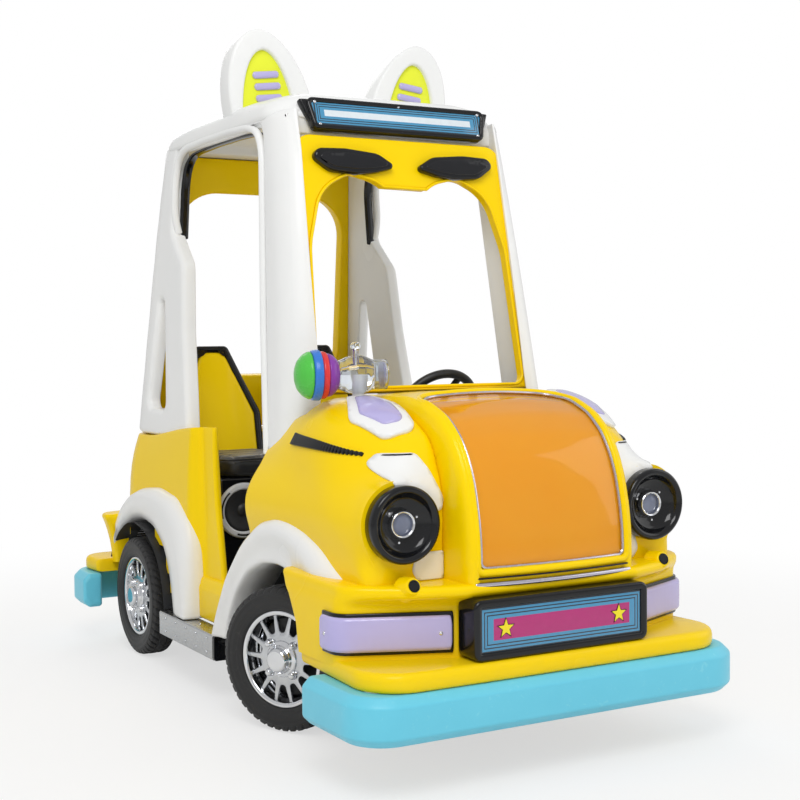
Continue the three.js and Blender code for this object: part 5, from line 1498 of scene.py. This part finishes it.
def makeSteering():
    hub = np.array([165.0, -205, 792])
    axis = np.array([0, math.sin(math.radians(60)), math.cos(math.radians(60))])
    across = np.array([1.0, 0, 0])
    along = np.cross(axis, across)
    parts = [tubed(hub + ellipse(117, 117, 96) @ [across, along], 12.6, 18, True, up=axis)]
    # three flat spokes that rise by 3 sin(pi s) on their way to the rim
    for degrees in (171, 291, 411):
        t = math.radians(degrees)
        out = math.cos(t) * across + math.sin(t) * along
        s = np.linspace(0, 1, 14)[:, None]
        path = hub + out * (18 + 96 * s) + axis * (-4 + 3 * np.sin(pi * s) - 2 * (1 - s))
        parts.append(carried(path, ellipse(12, 4.4, 20), up=axis, ends=3))
    addPiece("steering_wheel", *joined(*parts), gripPlastic, "soft_grip", "steering_wheel",
             ["steering_wheel"], sharp=60)
    boss = rounded([(0, 4), (20, 3, 8), (31, -4, 8), (34, -16, 6), (34, -33.2, 4), (0, -33.2)], 6, 1, closed=False)
    addPiece("horn_boss", *turned(evenly(boss, 3), hub, axis, 48), blackGloss, "soft_grip", "steering_wheel",
             sharp=50)
    button = [(0, 8), (9, 7.4), (13, 5.4), (14, 2), (14, -2)]
    addPiece("horn_button", *turned(button, hub, axis, 36), starPaint, "gloss_black", "steering_wheel", sharp=50)
    # the column's sleeve has 18 small pleats
    sleeve = [(0, -34.6), (21, -34.6), *[(21 + 1.6 * (k % 2), -38 - 6 * k) for k in range(18)], (21, -150), (0, -150)]
    addPiece("steering_column", *turned(sleeve, hub, axis, 40), gripPlastic, "soft_grip",
             stands=["steering_column"], sharp=30)


makeRiser(speakerShape)
makeDash()
makeSteering()


def floorMat():
    # ribs along the car: z = 268.6 + 2.4 |cos(pi x / 18)|^0.5, cut short where the wheel houses come in
    x = np.arange(-352, 353, 3.0)
    y = np.array([-470.0, -420, -300, -100, 60, 203])
    gridY, gridX = np.meshgrid(y, x, indexing="ij")
    z = 268.6 + 2.4 * np.abs(np.cos(pi * gridX / 18)) ** 0.5
    points, quads = sheet(np.stack([gridX, gridY, z], -1))
    centres = points.reshape(-1, 3)[quads].mean(1)
    wheel = (np.abs(centres[:, 0]) > 228) & (centres[:, 1] < -100)
    addPiece("floor_mat", points, quads[~wheel], tyreRubber, "soft_grip", closed=False, away=(0, 0, 0), sharp=50)


def innerWall():
    # the cockpit's side lining from the wheel house to the seats
    profile = rounded([(360, 404), (362, 560, 60), (364, 694)], 6, 8, closed=False)
    grid = np.array([np.insert(profile, 1, y, axis=1) for y in (-452.0, -300, -292)])
    addBoth("cockpit_lining", *sheet(grid), darkSteel, "dark_steel", closed=False, away=(600, -300, 450), sharp=60)


floorMat()
innerWall()
print("interior made")


def onLobe(points, plane, lift=1.2):
    # points travel along the one axis outside their plane until they meet the fender, and stop the lift above it;
    # a point that meets nothing comes back as not found
    axis = 3 - sum(plane)
    start = points.copy()
    start[:, axis] = (560, -1050, 1000)[axis]
    data = bpy.data.meshes.new("thrown")
    data.from_pydata((start * mm).tolist(), [], [])
    thrown = bpy.data.objects.new("thrown", data)
    scene.collection.objects.link(thrown)
    onto = thrown.modifiers.new("onto", "SHRINKWRAP")
    onto.target, onto.wrap_method, onto.wrap_mode = bpy.data.objects["fender_lobe_left"], "PROJECT", "ABOVE_SURFACE"
    onto.use_project_x, onto.use_project_y, onto.use_project_z = (axis == k for k in range(3))
    onto.use_positive_direction, onto.use_negative_direction = axis == 1, axis != 1
    onto.offset = lift * mm
    settled = thrown.evaluated_get(bpy.context.evaluated_depsgraph_get()).data
    out = np.empty(len(start) * 3)
    settled.vertices.foreach_get("co", out)
    bpy.data.objects.remove(thrown)
    out = out.reshape(-1, 3) / mm
    return out, np.abs(out[:, axis] - start[:, axis]) > 5


def patch(name, outline, plane, finish, slot, lift, thick, spacing=9):
    # a thin inlay that follows the lobe: the outline is filled with a net in its plane and thrown onto it
    loop = evenly(rounded(outline, 6, 4), 6, True)
    lo, hi = loop.min(0), loop.max(0)
    u, v = np.meshgrid(np.arange(lo[0] + 3, hi[0], spacing), np.arange(lo[1] + 3, hi[1], spacing))
    inside = np.column_stack([u.ravel(), v.ravel()])
    inside = inside[insideOf([insetLoop(loop, 3)], inside)]
    count = len(loop)
    edges = [(i, (i + 1) % count) for i in range(count)]
    corners, tris = filled(np.vstack([loop, inside]), edges, [loop])
    points = np.zeros((len(corners), 3))
    points[:, plane] = corners
    points, found = onLobe(points, plane, lift)
    tris = tris[found[tris].all(1)]
    addBoth(name, points, tris, finish, slot, closed=False, away=(330, -600, 560), wall=thick, sharp=80)


# the fender's inlays: plane, finish, slot, lift, thickness and outline
inlays = {
    "upper_flash": ([0, 2], whiteGelcoat, "white_gelcoat", 5.0, 5.4, [
        (241, 630, 8), (262, 690, 60), (286, 731, 16), (356, 729, 16), (382, 706, 16), (366, 668, 20), (352, 640, 10),
        (290, 600, 10), (246, 604, 8)]),
    "upper_flash_line": ([0, 2], blackGloss, "gloss_black", 5.8, 1, [
        (292, 729, 1), (350, 726.5, 1), (350, 723.5, 1), (292, 726, 1)]),
    "lower_flash": ([0, 2], whiteGelcoat, "white_gelcoat", 3.0, 3.6, [
        (237, 512, 8), (237, 449, 2), (306, 449, 2), (322, 470, 20), (310, 512, 20)]),
    "cowl_lamp": ([0, 1], whiteGelcoat, "white_gelcoat", 10, 12, [
        (258, -816, 22), (242, -690, 30), (266, -590, 12), (318, -584, 14), (366, -690, 24), (332, -794, 36)]),
    "cowl_lens": ([0, 1], lensWhite, "lamp_lens", 12.5, 4, [
        (272, -782, 16), (258, -690, 20), (280, -614, 8), (310, -610, 8), (342, -696, 16), (316, -766, 20)]),
}
for name, (plane, finish, slot, lift, thick, outline) in inlays.items():
    patch(name, outline, plane, finish, slot, lift, thick)


def ventStrip():
    # a black strip with 27 fins down the bonnet's side, narrowing towards the front
    y = np.linspace(-770, -480, 27)
    z = through([(-770, 728), (-620, 742), (-480, 748)], y)
    base, _ = onLobe(np.column_stack([np.zeros(len(y)), y, z]), [1, 2], 0.5)
    half, fins = 4.2, []
    for spot, high in zip(base, through([(-770, 5), (-700, 9), (-480, 16)], y)):
        outline = rounded([(-half, -high, 2), (half, -high, 2), (half, high, 2), (-half, high, 2)], 3)
        fin = plate(outline, 9, 2, steps=2)
        fins.append(laid(fin, (0, 1, 0), (-0.5, 0, 0.866), (-0.866, 0, -0.5), spot + [4.4, 0, 2.5]))
    addBoth("vent_fins", *joined(*fins), blackGloss, "gloss_black", sharp=40)
    addBoth("vent_rail", *carried(base, ellipse(2.4, 5, 16), ends=3), darkSteel, "gloss_black", sharp=60)


ventStrip()


def bosses():
    # small lamp bosses on the ledge, each with a black socket
    shell = [(12, 8), (12.6, 17), (15, 18.5), (19, 15), (22, 6), (26, -6), (30, -22)]
    spot, out = (352, -941, 444), np.array([0, -0.94, 0.34])
    addBoth("ledge_boss", *turned(smoothed(shell, 2, 3, 2), spot, out, 48), yellowGelcoat, "yellow_gelcoat",
            sharp=60, closed=False, away=(352, -900, 430))
    socket = [(0, 17.6), (10.4, 17.6), (11.6, 19.4), (13.6, 18.8), (13.4, 8), (0, 8)]
    addBoth("ledge_socket", *turned(socket, spot, out, 36), blackGloss, "gloss_black", sharp=50)


bosses()


stepShape = {
    "x": 425.0, "z": 117.0, "rear": 380, "front": -38,
    "channel": [(-30, 70, 1), (26, 70, 5), (28, 66, 2), (28, 2, 3), (24, 0, 2), (24, 62, 3), (-30, 62, 1)],
    "core": [(-26, 4, 3), (20, 4, 3), (20, 58, 3), (-26, 58, 3)],
    "nose": [(-30, 1, 6), (30, 1, 8), (30, 70, 8), (-30, 70, 6)],
}


def sideStep(shape):
    # stainless channel: profile out and up, folded at the top edge, with rivets along it and a black nose
    front, x, z = shape["front"], shape["x"], shape["z"]
    for name, key, steps, reach, count, end, finish, slot, stands, sharp in (
            ("side_step", "channel", (4, 2), (shape["rear"], front), 30, 0, steelSheet, "stainless",
             ["side_step"], 40),
            ("step_core", "core", (3,), (shape["rear"], front), 30, 0, darkSteel, "dark_steel", [], 40),
            ("step_nose", "nose", (4,), (front + 1, front - 11), 6, 1.5, blackGloss, "gloss_black", [], 50)):
        profile = rounded(shape[key], *steps) * [-1, 1]
        addBoth(name, *carried(straight(x, reach, z, count), profile, ends=end), finish, slot,
                stands=stands, sharp=sharp)
    rivets = [turned([(0, 2.4), (2.4, 2), (3.8, 0.8), (4, -1)], (453.6, y, v), (1, 0, 0), 14)
              for y in (10, 90, 170, 250, 330) for v in (134, 172)]
    rivets += [turned([(0, 2.2), (2.4, 1.8), (3.8, 0.6), (4, -1)], (422, y, 187.4), (0, 0, 1), 14)
               for y in (20, 130, 240)]
    addBoth("step_rivets", *joined(*rivets), castAlloy, "chrome_alloy", sharp=50)


sideStep(stepShape)


blowerShape = {
    "centre": (-285.0, -580, 905), "turn": -14,
    # the rainbow dome's slices: (along the axis, radius)
    "dome": {
        "dome_green": [(-158, 0), (-156, 18), (-150, 36), (-138, 50), (-124, 58), (-118, 58), (-118, 0)],
        "ring_blue": [(-118, 0), (-118, 60), (-104, 62), (-96, 61.6), (-96, 0)],
        "ring_red": [(-96, 0), (-96, 58), (-86, 57.5), (-80, 56), (-80, 0)],
        "ring_purple": [(-80, 0), (-80, 54), (-66, 50), (-54, 38), (-50, 30), (-50, 0)]},
    # (radius, along the axis)
    "muzzle": [(0, -54), (30, -54), (34, -50), (43, -30), (47, -8), (47.5, 8), (42, 24), (37, 34), (36.5, 66),
               (38, 69), (34, 70), (32, 66), (32, 34), (0, 30)],
    "disc": [(0, 62), (32, 62), (32, 58), (0, 58)],
    # (radius, height)
    "foot": [(0, 0), (15, 0), (14.6, -20), (14.6, -58), (22, -74), (22, -90), (0, -90)],
    "post": [(0, 18), (7, 18), (7, 58), (9, 60), (9, 64), (0, 64)],
}


def bubbleBlower(shape):
    # a toy bubble machine: a rainbow fan dome, a clear muzzle with a pierced ring, and a post with a clear ball
    centre, turn = np.array(shape["centre"]), math.radians(shape["turn"])
    axis, up = np.array([math.cos(turn), math.sin(turn), 0]), np.array([0, 0, 1])
    for name, profile in shape["dome"].items():
        line = smoothed(np.array(profile, float)[:, ::-1], 2.5, 3, 2.5)
        addPiece(f"blower_{name}", *turned(line, centre, axis, 64), toyColours[name.split("_")[1]], "lamp_lens",
                 sharp=50)
    across = np.cross(axis, up)
    nozzles = [turned([(0, 3), (3.2, 2.4), (4.2, 0.6), (4.2, -1)],
                      centre + axis * 62 + r * (math.cos(a) * up + math.sin(a) * across), axis, 16)
               for r, count in ((0, 1), (12, 6), (24, 12)) for a in np.linspace(0, 2 * pi, count, endpoint=False)]
    t = np.linspace(-pi / 2, pi / 2, 20)
    ball = np.column_stack([13 * np.cos(t), 69 + 11 * np.sin(t)])
    ball[[0, -1], 0] = 0
    beside = centre + [-6, 0, 0]
    for name, part, finish, slot, sharp in (
            ("bubble_blower", turned(evenly(shape["muzzle"], 3), centre, axis, 64), clearSheet, "lamp_lens", 50),
            ("blower_disc", turned(shape["disc"], centre, axis, 48), lensWhite, "lamp_lens", 40),
            ("blower_nozzles", joined(*nozzles), toyColours["magenta"], "lamp_lens", 60),
            ("blower_foot", turned(shape["foot"], centre, up, 36), whiteGelcoat, "lamp_lens", 50),
            ("blower_post", turned(shape["post"], beside, up, 32), chrome, "chrome_alloy", 50),
            ("blower_ball", turned(ball, beside, up, 32), clearSheet, "lamp_lens", 70)):
        addPiece(name, *part, finish, slot, stands=["bubble_blower"] if name == "bubble_blower" else [], sharp=sharp)


bubbleBlower(blowerShape)

# frame pieces that keep their own solids
kept = {"chassis_frame": darkSteel, "floor_pan": darkSteel, "front_axle": darkSteel, "rear_axle": castAlloy,
        "knuckle_left": castAlloy, "knuckle_right": castAlloy, "tie_rod": steelSheet, "battery_pack": battery,
        "display_tray": creamGelcoat}
for name, finish in kept.items():
    nodes[name].data.materials.clear()
    nodes[name].data.materials.append(finish)
print("details made")


def makeStage():
    floorFinish, tree, shader, place = newFinish("pale studio floor", Roughness=0.9, Specular_IOR_Level=0.1)
    speck = addNode(tree, "TexNoise", {"Vector": place, "Scale": 3.0}).outputs[0]
    tinted(tree, shader, speck, "#F1F1F0", "#F4F4F3")
    # the camera sees the floor partly as plain white, and wholly so from 3.2 m out, so the background
    # has no edge and the shadow stays soft
    path = addNode(tree, "LightPath").outputs
    away = addNode(tree, "VectorMath", {0: place}, operation="LENGTH").outputs["Value"]
    span = {"Value": away, "From Min": 1.3, "From Max": 3.2, "To Min": 0.62, "To Max": 1.0}
    clear = addNode(tree, "MapRange", span, interpolation_type="SMOOTHSTEP").outputs[0]
    seen = addNode(tree, "Math", {0: path["Is Camera Ray"], 1: clear}, operation="MULTIPLY").outputs[0]
    glow = addNode(tree, "Emission", {0: (1, 1, 1, 1), 1: 1.0}).outputs[0]
    both = addNode(tree, "MixShader", {0: seen, 1: shader.outputs[0], 2: glow}).outputs[0]
    tree.links.new(both, tree.nodes["Material Output"].inputs["Surface"])
    data = bpy.data.meshes.new("floor")
    data.from_pydata([(-60, -60, 0), (60, -60, 0), (60, 60, 0), (-60, 60, 0)], [], [(0, 1, 2, 3)])
    data.materials.append(floorFinish)
    floor = bpy.data.objects.new("floor", data)
    floor.location.z = -0.0005
    scene.collection.objects.link(floor)

    world = bpy.data.worlds.new("studio")
    scene.world = world
    world.use_nodes = True
    tree = world.node_tree
    path = addNode(tree, "LightPath").outputs
    seen = addNode(tree, "Math", {0: path["Is Camera Ray"], 1: path["Is Transmission Ray"]},
                   operation="MAXIMUM").outputs[0]
    soft = addNode(tree, "Background", {0: (1, 1, 1, 1), 1: 0.62}).outputs[0]
    plain = addNode(tree, "Background", {0: (1, 1, 1, 1), 1: 1.0}).outputs[0]
    mixed = addNode(tree, "MixShader", {0: seen, 1: soft, 2: plain}).outputs[0]
    tree.links.new(mixed, tree.nodes["World Output"].inputs["Surface"])

    lamps = {
        "key": {"place": (-2.2, -3.6, 4.4), "size": 2.4, "power": 120},
        "fill": {"place": (4.2, -2.4, 2.4), "size": 3.5, "power": 36},
        "back": {"place": (1.0, 4.4, 3.6), "size": 3.0, "power": 50},
    }
    for name, lamp in lamps.items():
        light = bpy.data.lights.new(name, "AREA")
        light.size, light.energy = lamp["size"], lamp["power"]
        thing = bpy.data.objects.new(name, light)
        thing.location = lamp["place"]
        aim = -(np.array(lamp["place"]) - [0, 0, 0.7])
        thing.rotation_mode = "QUATERNION"
        thing.rotation_quaternion = Vector(aim).to_track_quat("-Z", "Y")
        scene.collection.objects.link(thing)
    scene.view_settings.view_transform = "Standard"


makeStage()
print("stage made")
